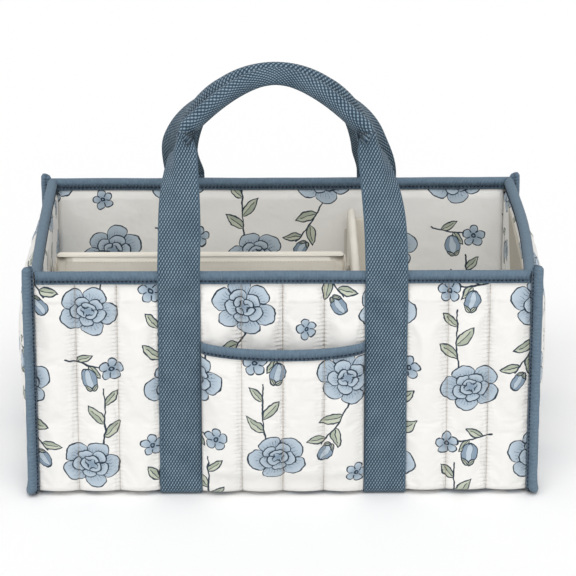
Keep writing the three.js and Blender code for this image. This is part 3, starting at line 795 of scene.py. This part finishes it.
def side_offset(wall, along, up):
    crown_top = PANEL_TOP - TAPE_HEIGHT
    rise = max(0.0, min(1.0, (up - 1.9 * MM) / (crown_top - 1.9 * MM)))
    width = math.cos(math.pi / 2 * along / wall.half)
    low = ease((up - FOLD_CENTRE * 0.6) / PUFF_FADE)
    high = ease((crown_top - up) / PUFF_FADE)
    crown = SIDE_CROWN * width ** 0.9 * math.sin(math.pi * rise) ** 0.5 * low
    turn = (along + wall.half) / (2 * wall.half) * wall.channels
    uneven = 1 + 0.18 * wobble((along, up, wall.sin), 40 * MM, 2)
    return crown + PUFF * channel_puff(turn) * low * high * uneven - SEAM_SINK


def side_place(wall, share, up, offset):
    """A place on a side panel, whose foot is rounded like the body's fold."""
    half = wall.half - GAP
    if up < FOLD_CENTRE:
        sink = min(1.0, (FOLD_CENTRE - up) / FOLD_RADIUS)
        half -= FOLD_RADIUS * (1 - math.sqrt(1 - sink * sink))
    return wall.place(share * half, wall.out + offset, up)


def side_panel(wall):
    columns, rows = wall.channels * 20, 104

    def shape(across, height):
        share = mix(-1, 1, across)
        along = share * wall.half
        up = mix(1.9 * MM, PANEL_TOP, height)
        turn = across * wall.channels
        place = side_place(wall, share, up, side_offset(wall, along, up))
        return place, {"cloth": (along + wall.print_start, up), "quilt": (turn, up)}

    mesh = cloth_grid(columns, rows, shape)
    held = [
        vert.index for vert in mesh.verts
        if vert.index % (columns + 1) % 20 == 0
        or vert.index // (columns + 1) in (0, 1, rows - 7, rows - 6, rows - 5, rows)]
    piece = as_piece(f"{wall.name}_quilting", mesh, quilted, None)
    settle(piece, held, 2.0, 0.012, 1.1 * MM)
    thicken(piece, 1.6 * MM)
    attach(piece, "shell")
    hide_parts(f"{wall.name}_panel")

    seams = []
    for number in range(1, wall.channels):
        share = mix(-1, 1, number / wall.channels)
        heights = np.linspace(6 * MM, PANEL_TOP - TAPE_HEIGHT, 60)
        points = [side_place(wall, share, up, side_offset(wall, share * wall.half, up) + 0.1 * MM) for up in heights]
        seams.append((points, wall.outwards()))
    sew(f"{wall.name}_quilting_thread", seams, quilt_thread, "shell")


def base_panel():
    """The quilted floor outside, from fold to fold."""
    flat = HALF_DEPTH - FOLD_RADIUS
    run = flat + FOLD_QUARTER - GAP
    columns = FRONT_CHANNELS * 10

    def shape(across, through):
        along = mix(-1, 1, across) * (HALF_WIDTH - GAP)
        row = mix(run, -run, through)
        fade = ease((flat - abs(row)) / PUFF_FADE)
        turn = across * FRONT_CHANNELS
        puff = 0 if under_strap(along) else 1.5 * MM * channel_puff(turn) * fade
        angle = max(0, abs(row) - flat) / FOLD_RADIUS
        radius = FOLD_RADIUS + puff
        depth = math.copysign(min(abs(row), flat) + radius * math.sin(angle), row)
        place = Vector((along, MIDDLE_Y + depth, FOLD_CENTRE - radius * math.cos(angle)))
        return place, {"cloth": (along, row - 0.3), "quilt": (turn, row)}

    mesh = cloth_grid(columns, 60, shape)
    piece = as_piece("base_quilting", mesh, quilted, "shell")
    thicken(piece, 1.4 * MM)
    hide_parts("base_panel")


for wall in (FRONT, BACK):
    body_panel(wall)
for wall in (LEFT, RIGHT):
    side_panel(wall)
base_panel()


# Bias tape over the rims

def tape_outline(outer, inner, height):
    """The tape's cross-section: a soft roll over the edge, pinched where it is sewn, with a small lip."""
    thickness = 1.1 * MM
    middle, radius = (outer + inner) / 2, (outer - inner) / 2

    def face(side):
        points = []
        for drop in np.linspace(radius * 0.8, height, 16):
            roll = 0.75 * MM * math.sin(math.pi * min(1, drop / STITCH_DROP))
            pinch = 0.4 * MM * math.exp(-((drop - STITCH_DROP) / (0.9 * MM)) ** 2)
            lip = 0.25 * MM * ease((drop - STITCH_DROP) / (1.2 * MM))
            points.append((middle + side * (radius + roll - pinch + lip), -drop))
        return points

    arc = [
        (middle + radius * 1.02 * math.cos(angle), -radius * 0.8 + radius * 0.8 * math.sin(angle))
        for angle in np.linspace(0.25, math.pi - 0.25, 11)]
    outside = [*reversed(face(1)), *arc, *face(-1)]
    slot = radius - thickness
    inside = [(middle - slot, -height), (middle - slot, -thickness * 1.4), (middle + slot, -thickness * 1.4),
              (middle + slot, -height)]
    return [*outside, *inside, outside[0]]


def tape(name, outline, path_length, place, body, seed, swatch=0.0):
    """Tape along a path. Place takes the share along, the outward offset and the height."""
    section = Line(outline)
    around = 44
    rows = max(8, int(path_length / (1.6 * MM)))
    middle = section.length / 2

    def shape(across, along):
        run = across * section.length
        out, up = section.at(run)
        ripple = 0.16 * MM * wobble((along * path_length, out, up), 6 * MM, seed)
        sag = 0.35 * MM * wobble((along * path_length, seed, 0), 40 * MM, seed)
        spot = place(along, out + (ripple if out > 0 else -ripple), up + sag)
        length = along * path_length
        return spot, {"cloth": (run - middle, length + swatch), "seam": (-up - STITCH_DROP, length)}

    mesh = cloth_grid(around, rows, shape, tube=True)
    return as_piece(name, mesh, bias, body)


def rim_tape(wall, seed):
    outline = tape_outline(TAPE_OUT, TAPE_IN, TAPE_HEIGHT)
    length = 2 * wall.half

    def place(share, out, up):
        half = wall.half - GAP - max(0, abs(out))
        along = mix(-half, half, share)
        if under_strap(along) and wall.channels == FRONT_CHANNELS:
            out = min(out, TAPE_OUT + 0.2 * MM)
        return wall.place(along, wall.out + out, RIM + up)

    piece = tape(f"{wall.name}_rim_binding", outline, length, place, "shell", seed)
    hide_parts(f"{wall.name}_rim_tape")
    shares = np.linspace(0.01, 0.99, 120)
    outside = [place(share, TAPE_OUT + 0.12 * MM, -STITCH_DROP) for share in shares]
    inside = [place(share, TAPE_IN - 0.12 * MM, -STITCH_DROP) for share in shares]
    rows = [(outside, wall.outwards()), (inside, -wall.outwards())]
    sew(f"{wall.name}_rim_thread", rows, tape_thread, "shell", length=1.7 * MM, pitch=3.1 * MM, thickness=0.75 * MM)


for seed, wall in enumerate(WALLS):
    rim_tape(wall, seed + 1)


# Bound corner seams: down the front corner, under the side and up the back corner

def binding_path(side):
    """Stations of the binding: its middle, the way it stands out, and the way along it."""
    flat = HALF_DEPTH - FOLD_RADIUS
    reach = GAP + FLANGE_REACH / 2
    rises = {-1: 5.5 * MM, 1: 1.5 * MM}

    def station(face, turn, up):
        angle = turn * math.pi / 2
        stand = Vector((side, face * (1 - turn), 0)).normalized()
        lift = (FLANGE_THICKNESS / 2 - 1.9 * MM) * math.sin(angle)
        seam = Vector((
            side * HALF_WIDTH,
            MIDDLE_Y + face * (flat + FOLD_RADIUS * math.cos(angle)),
            up - FOLD_RADIUS * math.sin(angle) + lift))
        return seam + stand * reach, stand

    def leg(face):
        top = RIM + rises[face]
        heights = np.linspace(top, FOLD_CENTRE + 2 * MM, 90)
        down = [station(face, 0, up) for up in heights]
        return down + [station(face, turn, FOLD_CENTRE) for turn in np.linspace(0, 1, 9)]

    front, back = leg(-1), leg(1)
    start, end = front[-1], back[-1]
    bottom = [(start[0].lerp(end[0], share), start[1]) for share in np.linspace(0, 1, 100)[1:-1]]
    stations = front + bottom + back[::-1]
    centres = Line([centre for centre, stand in stations])
    stands = [stand for centre, stand in stations]
    return centres, stands


def corner_binding(name, side, seed):
    centres, stands = binding_path(side)
    rows = 300
    half_reach, half_thick = FLANGE_REACH / 2, FLANGE_THICKNESS / 2

    def frame_at(run):
        index = np.searchsorted(centres.runs, run)
        index = int(min(max(index, 1), len(stands) - 1))
        low, high = centres.runs[index - 1], centres.runs[index]
        stand = stands[index - 1].lerp(stands[index], (run - low) / max(high - low, 1e-9)).normalized()
        ahead = Vector(centres.at(run + 0.5 * MM)) - Vector(centres.at(run - 0.5 * MM))
        return Vector(centres.at(run)), stand, ahead.normalized().cross(stand)

    def profile(angle):
        """Across the seam: fullest at the outer roll, pinched near the sewn line."""
        x = math.copysign(abs(math.cos(angle)) ** 0.8, math.cos(angle))
        y = math.copysign(abs(math.sin(angle)) ** 0.8, math.sin(angle))
        pinch = 1 - 0.34 * math.exp(-((x + 0.45) / 0.2) ** 2)
        return x * half_reach, y * half_thick * pinch * (0.93 + 0.07 * x)

    def shape(around, along):
        run = along * centres.length
        centre, stand, across = frame_at(run)
        x, y = profile(around * 2 * math.pi)
        end = min(run, centres.length - run)
        close = math.sqrt(max(0.0, 1 - (1 - min(1.0, end / (1.8 * MM))) ** 2))
        uneven = 1 + 0.07 * wobble((run, x, y), 9 * MM, seed)
        drift = 0.5 * MM * wobble((run, seed, 0), 50 * MM, seed)
        spot = centre + stand * (x * (0.78 + 0.22 * close) * uneven + drift)
        spot += across * y * (0.55 + 0.45 * close) * uneven
        spot.z = max(spot.z, 0.1 * MM)
        seam = x + half_reach * 0.45
        return spot, {"cloth": ((around - 0.5) * 22 * MM, run), "seam": (seam, run)}

    mesh = cloth_grid(32, rows, shape, tube=True)
    piece = as_piece(f"{name}_binding", mesh, bias, "shell")
    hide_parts(f"{name}_corner_binding")
    runs = np.linspace(6 * MM, centres.length - 6 * MM, 400)
    rows_sewn = []
    for face in (-1, 1):
        points = []
        for run in runs:
            centre, stand, across = frame_at(run)
            points.append(centre - stand * half_reach * 0.45 + across * face * half_thick * 0.72)
        lined = Line(points)

        def facing(spot, face=face):
            nearest = int(np.argmin(np.linalg.norm(lined.points - np.array(spot), axis=1)))
            centre, stand, across = frame_at(runs[nearest])
            return across * face

        rows_sewn.append((points, facing))
    sew(f"{name}_binding_thread", rows_sewn, tape_thread, "shell", length=1.7 * MM, pitch=3.1 * MM, thickness=0.75 * MM)


corner_binding("left", -1, 11)
corner_binding("right", 1, 12)


# Webbing: each length runs up from under the base, over the rim as a handle, and down again

STRIP_WIDTHS = [-16, -15.4, -13, -10.5, -8, -6, -4.6, -3.6, -2.7, -1.8, -0.9, 0,
                0.9, 1.8, 2.7, 3.6, 4.6, 6, 8, 10.5, 13, 15.4, 16]


def strip_bend(across, fold, nose=2.4 * MM):
    """Where the outer half of the strip goes as it folds behind: across, behind and the turned angle."""
    run = nose * math.pi / 2
    bend = fold * (math.pi + 0.24)
    if across <= -run:
        return across, 0.0, 0.0
    curved = min(across, run)
    steps = 10
    x, behind = -run, 0.0
    for step in range(steps):
        part = (curved + run) / steps
        angle = bend * ((step + 0.5) * part) / (2 * run)
        x += math.cos(angle) * part
        behind += math.sin(angle) * part
    angle = bend * (curved + run) / (2 * run)
    rest = max(0.0, across - run)
    return x + math.cos(angle) * rest, behind + math.sin(angle) * rest, angle


def webbing_path(knee, first, second):
    """Half of one webbing, from under the middle of the base to the top of the handle."""
    flat = HALF_DEPTH - FOLD_RADIUS
    radius = FOLD_RADIUS + GAP + WEBBING_THICKNESS / 2
    under = [(out, FOLD_CENTRE - radius) for out in np.linspace(0, flat, 40)]
    turn = [(flat + radius * math.sin(a), FOLD_CENTRE - radius * math.cos(a)) for a in np.linspace(0.1, math.pi / 2, 9)]
    wall_out = HALF_DEPTH + GAP + WEBBING_THICKNESS / 2
    tape_foot = RIM - TAPE_HEIGHT
    up = [(wall_out, height) for height in np.linspace(FOLD_CENTRE + 2 * MM, tape_foot - 7 * MM, 60)]
    over = [
        (mix(wall_out, HINGE_OUT, ease(share)), mix(tape_foot - 7 * MM, tape_foot + 1 * MM, share))
        for share in np.linspace(0.1, 1, 8)]
    straight = [(HINGE_OUT, height) for height in np.linspace(tape_foot + 2 * MM, HINGE_HEIGHT, 14)]
    sewn = Line([*under, *turn, *up, *over, *straight])
    apex = Vector((0, second.y))
    bezier = [
        (1 - t) ** 3 * knee + 3 * (1 - t) ** 2 * t * first + 3 * (1 - t) * t * t * second + t ** 3 * apex
        for t in np.linspace(0, 1, 60)]
    loop = Line([Vector((-STRAP_CENTRE, 0)), *bezier])
    return sewn, loop


def fold_share(travelled, creased):
    """How far the outer half has folded behind, this far up the handle."""
    if not creased:
        return min(1.0, max(0.0, travelled) / (137 * MM)) ** 1.1
    slow = max(0.0, min(1.0, (travelled - 15 * MM) / (80 * MM))) ** 1.6
    return 0.42 * slow + 0.58 * ease((travelled - 90 * MM) / (16 * MM))


def buckle(travelled, beside, across):
    """Where the flat leg buckles into the grip: how far it slides along, and how far it stands out."""
    past = travelled - CREASE_HEIGHT
    slide = math.copysign(beside * CREASE_SLOPE, beside * (1 if past < 0 else -1)) * math.exp(-abs(past) / (11 * MM))
    front = ease(-across / (6 * MM))
    inner = max(0.0, min(1.0, -across / (16 * MM)))
    if past < 0:
        stand = (1.6 + 2.6 * inner) * MM * math.exp(past / (7 * MM))
        slide += front * 1.8 * MM * math.exp(past / (3 * MM))
    else:
        stand = -(3.0 - 1.4 * inner) * MM * math.exp(-past / (9 * MM))
        slide -= front * 1.6 * MM * math.exp(-past / (3 * MM))
    return slide, front * stand


def grip_roll(travelled, length):
    """The folded grip turns its open edge back above the crease, and lies flat again at the top."""
    past = travelled - CREASE_HEIGHT
    share = max(0.0, past / (length - CREASE_HEIGHT))
    return GRIP_ROLL * ease(past / (7 * MM)) * (1 - share * share)


def webbing_piece(name, wall, lean, sway, hidden, bends, creased):
    sewn, loop = webbing_path(*bends)
    half_run = sewn.length + loop.length
    half_thick = WEBBING_THICKNESS / 2
    widths = [width * MM for width in STRIP_WIDTHS]
    section = [(across, half_thick) for across in widths] + [(across, -half_thick) for across in reversed(widths)]
    near_hinge = np.arange(-7, 7.1, 0.5) * MM + sewn.length
    rows = np.unique(np.concatenate([
        np.arange(0, sewn.length - 7 * MM, 2.4 * MM), near_hinge,
        np.arange(sewn.length + 7 * MM, half_run, 1.8 * MM), [half_run],
        sewn.length + CREASE_HEIGHT + np.arange(-14, 14.1, 0.7) * MM]))
    stations = np.concatenate([rows, 2 * half_run - rows[-2::-1]])

    def strip_place(run, across, lift):
        """Across counts away from the handle's middle, and lift is outwards from the wall."""
        if run < sewn.length:
            out, up = sewn.at(run)
            ahead = np.array(sewn.at(run + 0.4 * MM)) - np.array(sewn.at(max(0, run - 0.4 * MM)))
            ahead /= np.linalg.norm(ahead)
            return -(STRAP_CENTRE + across), out + lift * ahead[1], up - lift * ahead[0], 0.0
        travelled = run - sewn.length
        x, up = loop.at(travelled)
        step = 0.4 * MM
        ahead = np.array(loop.at(min(travelled + step, loop.length))) - np.array(loop.at(max(0, travelled - step)))
        ahead /= np.linalg.norm(ahead)
        share = fold_share(travelled, creased)
        beside, behind, angle = strip_bend(across, share)
        folded = ease(share * 1.6 - 0.6)
        belly = GRIP_BELLY * math.sin(math.pi * max(0.0, 1 - abs(across) / (16 * MM))) * folded
        beside *= 1 - 0.12 * folded
        behind += math.copysign(belly, across)
        slide, stand = buckle(travelled, beside, across) if creased else (0.0, 0.0)
        way = 1 if creased else -1
        beside += way * math.sin(angle) * lift
        behind = way * behind - math.cos(angle) * lift
        roll = grip_roll(travelled, loop.length) if creased else 0.0
        beside, behind = (
            beside * math.cos(roll) + behind * math.sin(roll),
            behind * math.cos(roll) - beside * math.sin(roll) - stand)
        x, up = x - ahead[1] * beside + ahead[0] * slide, up + ahead[0] * beside + ahead[1] * slide
        lean_here = lean * ease((travelled + 2 * MM) / (7 * MM))
        out = HINGE_OUT - behind * math.cos(lean) - up * math.sin(lean_here)
        return x, out, HINGE_HEIGHT - behind * math.sin(lean) + up * math.cos(lean_here), slide

    def shape(around, along):
        across, lift = section[round(around * len(section)) % len(section)]
        full = stations[round(along * (len(stations) - 1))]
        mirrored = full > half_run
        run = 2 * half_run - full if mirrored else full
        edge = abs(across) > 15.5 * MM
        x, out, up, slide = strip_place(run, across, lift * (0.45 if edge else 1))
        x = -x if mirrored else x
        travelled = run - sewn.length
        x += sway * ease((travelled - 20 * MM) / (110 * MM) if creased else travelled / (40 * MM))
        wave = 0.25 * MM * wobble((x, out, up), 30 * MM, 21)
        spot = wall.place(x, out + wave, up)
        return spot, {"cloth": (across, full - slide if mirrored else full + slide)}

    mesh = cloth_grid(len(section), len(stations) - 1, shape, tube=True)
    piece = as_piece(name, mesh, webbing, None)
    start = wall.place(0, HINGE_OUT, HINGE_HEIGHT - 2.2 * MM)
    end = wall.place(0, HINGE_OUT, HINGE_HEIGHT + 2.2 * MM)
    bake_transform(piece)
    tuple(start)
    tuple(end)
    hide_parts(*hidden)

    rows_sewn = []
    for side in (-1, 1):
        low, high = side * STRAP_CENTRE - 13.4 * MM, side * STRAP_CENTRE + 13.4 * MM
        out = HALF_DEPTH + GAP + WEBBING_THICKNESS + 0.1 * MM
        points = [wall.place(x, out, RIM - 23 * MM) for x in np.linspace(low, high, 20)]
        rows_sewn.append((points, wall.outwards()))
        for x in (low, high):
            heights = np.linspace(12 * MM, RIM - 23 * MM, 60)
            rows_sewn.append(([wall.place(x, out, up) for up in heights], wall.outwards()))
    sew(f"{name}_thread", rows_sewn, strap_thread, "shell", thickness=0.2 * MM)


crease_knee = Vector((-STRAP_CENTRE + 2.2 * MM, CREASE_HEIGHT))
front_bends = crease_knee, crease_knee + Vector((10, 4.5)) * MM, Vector((-34 * MM, APEX_HEIGHT))
back_bends = Vector((-STRAP_CENTRE, 5 * MM)), Vector((-83 * MM, 100 * MM)), Vector((-40.5 * MM, 152 * MM))
webbing_piece(
    "front_webbing", FRONT, FRONT_LEAN, -SWAY, ("front_handle", "left_strap", "right_strap"),
    front_bends, True)
webbing_piece("back_webbing", BACK, BACK_LEAN, SWAY, ("back_handle",), back_bends, False)


# Front pocket between the straps

POCKET_HALF = STRAP_CENTRE - WEBBING_WIDTH / 2 - GAP
POCKET_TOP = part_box("pocket_tape")[1].z
POCKET_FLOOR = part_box("front_pocket")[0].z
POCKET_FOOT = FOLD_CENTRE - FOLD_QUARTER + GAP
POCKET_SCOOP = 3 * MM
POCKET_TAPE = 8.2 * MM


def pocket_edge(along):
    return POCKET_TOP - POCKET_SCOOP * math.cos(math.pi / 2 * along / POCKET_HALF)


def pocket_offset(along, up):
    width = max(0.0, 1 - abs(along / POCKET_HALF) ** 3) ** 0.6
    filled = max(0.0, min(1.0, (up - POCKET_FLOOR) / (POCKET_TOP - POCKET_FLOOR) / 0.6))
    return 2.4 * MM + 10.5 * MM * width * math.sin(math.pi / 2 * filled) ** 0.6


def pocket():
    columns, rows = 88, 76
    thickness = 1.7 * MM

    def puff(along, up):
        low = ease((up - POCKET_FLOOR) / PUFF_FADE)
        high = ease((pocket_edge(along) - POCKET_TAPE - up) / PUFF_FADE)
        turn = (along + HALF_WIDTH) / CHANNEL
        return 3 * MM * channel_puff(turn) * low * high

    def spot(along, up, height, lift=0.0):
        """On the pocket's outside. Its foot lies on the panel and goes round the fold with it."""
        run = up - FOLD_CENTRE + FOLD_QUARTER
        foot = max(0.0, body_offset(FRONT, along, run, False)) * (1 if height else 0.2) + 1.0 * MM
        offset = pocket_offset(along, up) + thickness + height * puff(along, up)
        return body_surface(FRONT, along, run, mix(foot, offset, ease((run - 3 * MM) / (16 * MM))) + lift)

    def shape(across, height):
        along = mix(-POCKET_HALF, POCKET_HALF, across)
        up = mix(POCKET_FOOT, pocket_edge(along) - 1.5 * MM, height)
        turn = (along + HALF_WIDTH) / CHANNEL
        return spot(along, up, 1), {"cloth": (along + 0.37, up + 0.05), "quilt": (turn, up)}

    mesh = cloth_grid(columns, rows, shape)
    held = [
        vert.index for vert in mesh.verts
        if vert.index % (columns + 1) in (0, columns)
        or vert.index // (columns + 1) in (0, 1, rows - 6, rows - 5, rows)
        or abs(((mix(-POCKET_HALF, POCKET_HALF, vert.index % (columns + 1) / columns) + HALF_WIDTH) / CHANNEL + 0.5)
               % 1 - 0.5) < 0.03]
    piece = as_piece("pocket_quilting", mesh, quilted, None)
    settle(piece, held, 2.0, 0.012, 1.0 * MM)
    thicken(piece, thickness)
    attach(piece, "shell")
    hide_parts("front_pocket")

    seams = []
    for number in range(5, 8):
        along = -HALF_WIDTH + number * CHANNEL
        heights = np.linspace(POCKET_FLOOR, pocket_edge(along) - POCKET_TAPE, 40)
        seams.append(([spot(along, up, 0, 0.1 * MM) for up in heights], FRONT.outwards()))
    sew("pocket_quilting_thread", seams, quilt_thread, "shell")

    def place(share, out, up):
        along = mix(-POCKET_HALF, POCKET_HALF, share)
        height = pocket_edge(along) + up
        return FRONT.place(along, HALF_DEPTH + pocket_offset(along, height) + out, height)

    outline = tape_outline(thickness + 1.4 * MM, -1.3 * MM, POCKET_TAPE)
    binding = tape("pocket_binding", outline, 2.1 * POCKET_HALF, place, "shell", 31)
    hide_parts("pocket_tape")
    shares = np.linspace(0.01, 0.99, 80)
    outside = [place(share, thickness + 1.65 * MM, -STITCH_DROP * 0.95) for share in shares]
    sew("pocket_thread", [(outside, FRONT.outwards())], tape_thread, "shell", length=1.7 * MM, pitch=3.1 * MM, thickness=0.75 * MM)


pocket()


# Lining sheets inside

def wall_lining(wall):
    half = wall.half - LINING_DROP + 0.1 * MM
    top = RIM - TAPE_HEIGHT + 1.5 * MM

    def shape(across, height):
        along = mix(-half, half, across)
        up = mix(FLOOR - 0.6 * MM, top, height)
        jog = (TAPE_IN + 1.3 * MM + LINING_DROP) * ease((up - (RIM - TAPE_HEIGHT - 6 * MM)) / (6 * MM))
        edge = ease((half - abs(along)) / (12 * MM)) * ease((up - FLOOR) / (15 * MM)) * ease((top - up) / (15 * MM))
        soft = 0.9 * MM * wobble((along, up, wall.cos * 2 + wall.sin), 38 * MM, 41) * edge
        out = wall.out - LINING_DROP + jog + abs(soft) * 0.3 - max(0, -soft) * 0.2
        return wall.place(along, out, up), {"cloth": (along + wall.print_start + 0.05, up + 0.031)}

    mesh = cloth_grid(max(40, int(2 * half / (4 * MM))), 48, lambda across, height: shape(1 - across, height))
    piece = as_piece(f"{wall.name}_inner_cloth", mesh, lining, "shell")
    thicken(piece, 0.8 * MM)
    2 * half
    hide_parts(f"{wall.name}_lining")


def base_lining():
    half_x, half_y = HALF_WIDTH - LINING_DROP - 0.2 * MM, HALF_DEPTH - LINING_DROP - 0.2 * MM

    def shape(across, through):
        x, y = mix(-half_x, half_x, across), mix(-half_y, half_y, through)
        edge = ease((half_x - abs(x)) / (14 * MM)) * ease((half_y - abs(y)) / (14 * MM))
        soft = 0.8 * MM * (0.5 + 0.5 * wobble((x, y, 0), 45 * MM, 51)) * edge
        return Vector((x, MIDDLE_Y + y, FLOOR - 0.7 * MM + soft)), {"cloth": (x + 0.21, y + 0.4)}

    mesh = cloth_grid(90, 54, shape)
    piece = as_piece("base_inner_cloth", mesh, lining, "shell")
    thicken(piece, 0.7 * MM)
    2 * half_x
    2 * half_y
    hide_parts("base_lining")


for wall in WALLS:
    wall_lining(wall)
base_lining()


# Dividers: padded sleeves with end flaps

def padded_board(name, low, high, replaced, body, soft=0.7 * MM, corner=2.2 * MM):
    """A thin padded board between two corners, with rounded edges and a slightly uneven face."""
    mesh = bmesh.new()
    bmesh.ops.create_cube(mesh, size=1)
    size, middle = high - low, (high + low) / 2
    bmesh.ops.scale(mesh, vec=size, verts=mesh.verts)
    thin = min(range(3), key=lambda axis: size[axis])
    for axis in range(3):
        if axis == thin:
            continue
        for cut in np.arange(-size[axis] / 2 + 4 * MM, size[axis] / 2 - 2 * MM, 5 * MM):
            normal = Vector([1.0 if index == axis else 0.0 for index in range(3)])
            geometry = mesh.verts[:] + mesh.edges[:] + mesh.faces[:]
            bmesh.ops.bisect_plane(mesh, geom=geometry, plane_co=normal * cut, plane_no=normal)
    sharp = [edge for edge in mesh.edges if edge.calc_face_angle(0) > 1]
    bmesh.ops.bevel(
        mesh, geom=sharp, offset=min(corner, size[thin] * 0.45), segments=3, profile=0.5, affect="EDGES", material=-1)
    layer = mesh.loops.layers.uv.new("cloth")
    across, up = [axis for axis in range(3) if axis != thin]
    for face in mesh.faces:
        for loop in face.loops:
            co = loop.vert.co
            loop[layer].uv = (co[across], co[up] + co[thin])
    for vert in mesh.verts:
        co = vert.co
        inside = min(size[axis] / 2 - abs(co[axis]) for axis in (across, up))
        swell = soft * ease(inside / (14 * MM)) * (0.55 + 0.45 * wobble(co, 34 * MM, 61))
        co[thin] += math.copysign(min(swell, 0.29 * MM + soft * 0.5), co[thin]) - math.copysign(0.3 * MM, co[thin])
        vert.co = co + middle
    bmesh.ops.recalc_face_normals(mesh, faces=mesh.faces)
    piece = as_piece(name, mesh, divider_cloth, body)
    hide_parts(replaced)
    return piece


def edge_stitches(low, high, inset, drop_foot):
    """Two rows beside the top and the ends of a divider, on both of its faces."""
    size = high - low
    thin = min(range(3), key=lambda axis: size[axis])
    across = 1 - thin
    rows = []
    for face in (-1, 1):
        facing = Vector([face if axis == thin else 0 for axis in range(3)])
        level = (high if face > 0 else low)[thin] + face * 0.05 * MM
        corners = [
            (low[across] + inset, low.z + drop_foot), (low[across] + inset, high.z - inset),
            (high[across] - inset, high.z - inset), (high[across] - inset, low.z + drop_foot)]
        points = []
        for (along, up) in corners:
            point = [0, 0, up]
            point[thin], point[across] = level, along
            points.append(Vector(point))
        for start, end in zip(points, points[1:]):
            rows.append(([start.lerp(end, share) for share in np.linspace(0, 1, 30)], facing))
    return rows


def divider(name, body, ends):
    low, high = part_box(f"{name}_sleeve")
    padded_board(f"{name}_padding", low, high, f"{name}_sleeve", body, corner=3 * MM)
    rows = edge_stitches(low, high, 7 * MM, 2 * MM)
    sew(f"{name}_thread", rows, cream_thread, body, pitch=2.9 * MM, length=2.1 * MM)
    for end in ends:
        low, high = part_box(f"{name}_{end}_flap")
        padded_board(f"{name}_{end}_tab", low, high, f"{name}_{end}_flap", body, soft=0.2 * MM, corner=0.9 * MM)


divider("cross_divider", "cross_divider", ("front", "back"))
divider("long_divider", "long_divider", ("left", "right"))


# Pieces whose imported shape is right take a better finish

def refinish(names, finish):
    for name in names:
        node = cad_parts[name]
        node.data.materials.clear()
        node.data.materials.append(finish.material)


refinish([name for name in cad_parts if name.endswith("_board") or name.endswith("_core")], board)
refinish([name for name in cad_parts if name.endswith("_loop_tape") or name.endswith("_hook_tape")], fastening)


# Studio

def studio():
    floor_mesh = bmesh.new()
    bmesh.ops.create_grid(floor_mesh, x_segments=1, y_segments=1, size=6)
    data = bpy.data.meshes.new("floor")
    floor_mesh.to_mesh(data)
    floor_mesh.free()
    floor = bpy.data.objects.new("floor", data)
    bpy.context.scene.collection.objects.link(floor)
    finish = Finish("studio_floor", 0.9, "")
    finish.shade("Base Color", colour(250, 250, 250))
    data.materials.append(finish.material)

    world = bpy.data.worlds.new("studio")
    bpy.context.scene.world = world
    world.use_nodes = True
    backdrop = world.node_tree.nodes["Background"]
    backdrop.inputs["Color"].default_value = (1.0, 1.0, 1.0, 1)
    backdrop.inputs["Strength"].default_value = 0.65

    def soft_sun(name, azimuth, elevation, power, spread):
        light = bpy.data.lights.new(name, "SUN")
        light.energy = power
        light.angle = math.radians(spread)
        lamp = bpy.data.objects.new(name, light)
        azimuth, elevation = math.radians(azimuth), math.radians(elevation)
        rays = Vector((
            math.sin(azimuth) * math.cos(elevation), math.cos(azimuth) * math.cos(elevation), -math.sin(elevation)))
        lamp.rotation_euler = rays.to_track_quat("-Z", "Y").to_euler()
        bpy.context.scene.collection.objects.link(lamp)

    soft_sun("key_light", 32, 48, 0.5, 25)
    soft_sun("top_light", -14, 62, 0.9, 40)
    soft_sun("front_fill", -4, 24, 0.26, 40)
    bpy.context.scene.view_settings.view_transform = "Standard"


def photo_camera():
    """The photo's own view: 21 degrees down on the front, from far away."""
    pitch, yaw = math.radians(20.65), math.radians(0.54)
    forward = Vector((math.sin(yaw) * math.cos(pitch), math.cos(yaw) * math.cos(pitch), -math.sin(pitch)))
    right = Vector((math.cos(yaw), -math.sin(yaw), 0))
    up = right.cross(forward)
    data = bpy.data.cameras.new("photo_camera")
    data.sensor_width = 36
    data.lens = 200.8
    camera = bpy.data.objects.new("photo_camera", data)
    camera.matrix_world = Matrix((right, up, -forward)).transposed().to_4x4()
    camera.location = (-0.0173, -2.3588 + MIDDLE_Y, 1.0165)
    bpy.context.scene.collection.objects.link(camera)
    bpy.context.scene.camera = camera


studio()
photo_camera()
bpy.context.view_layer.update()
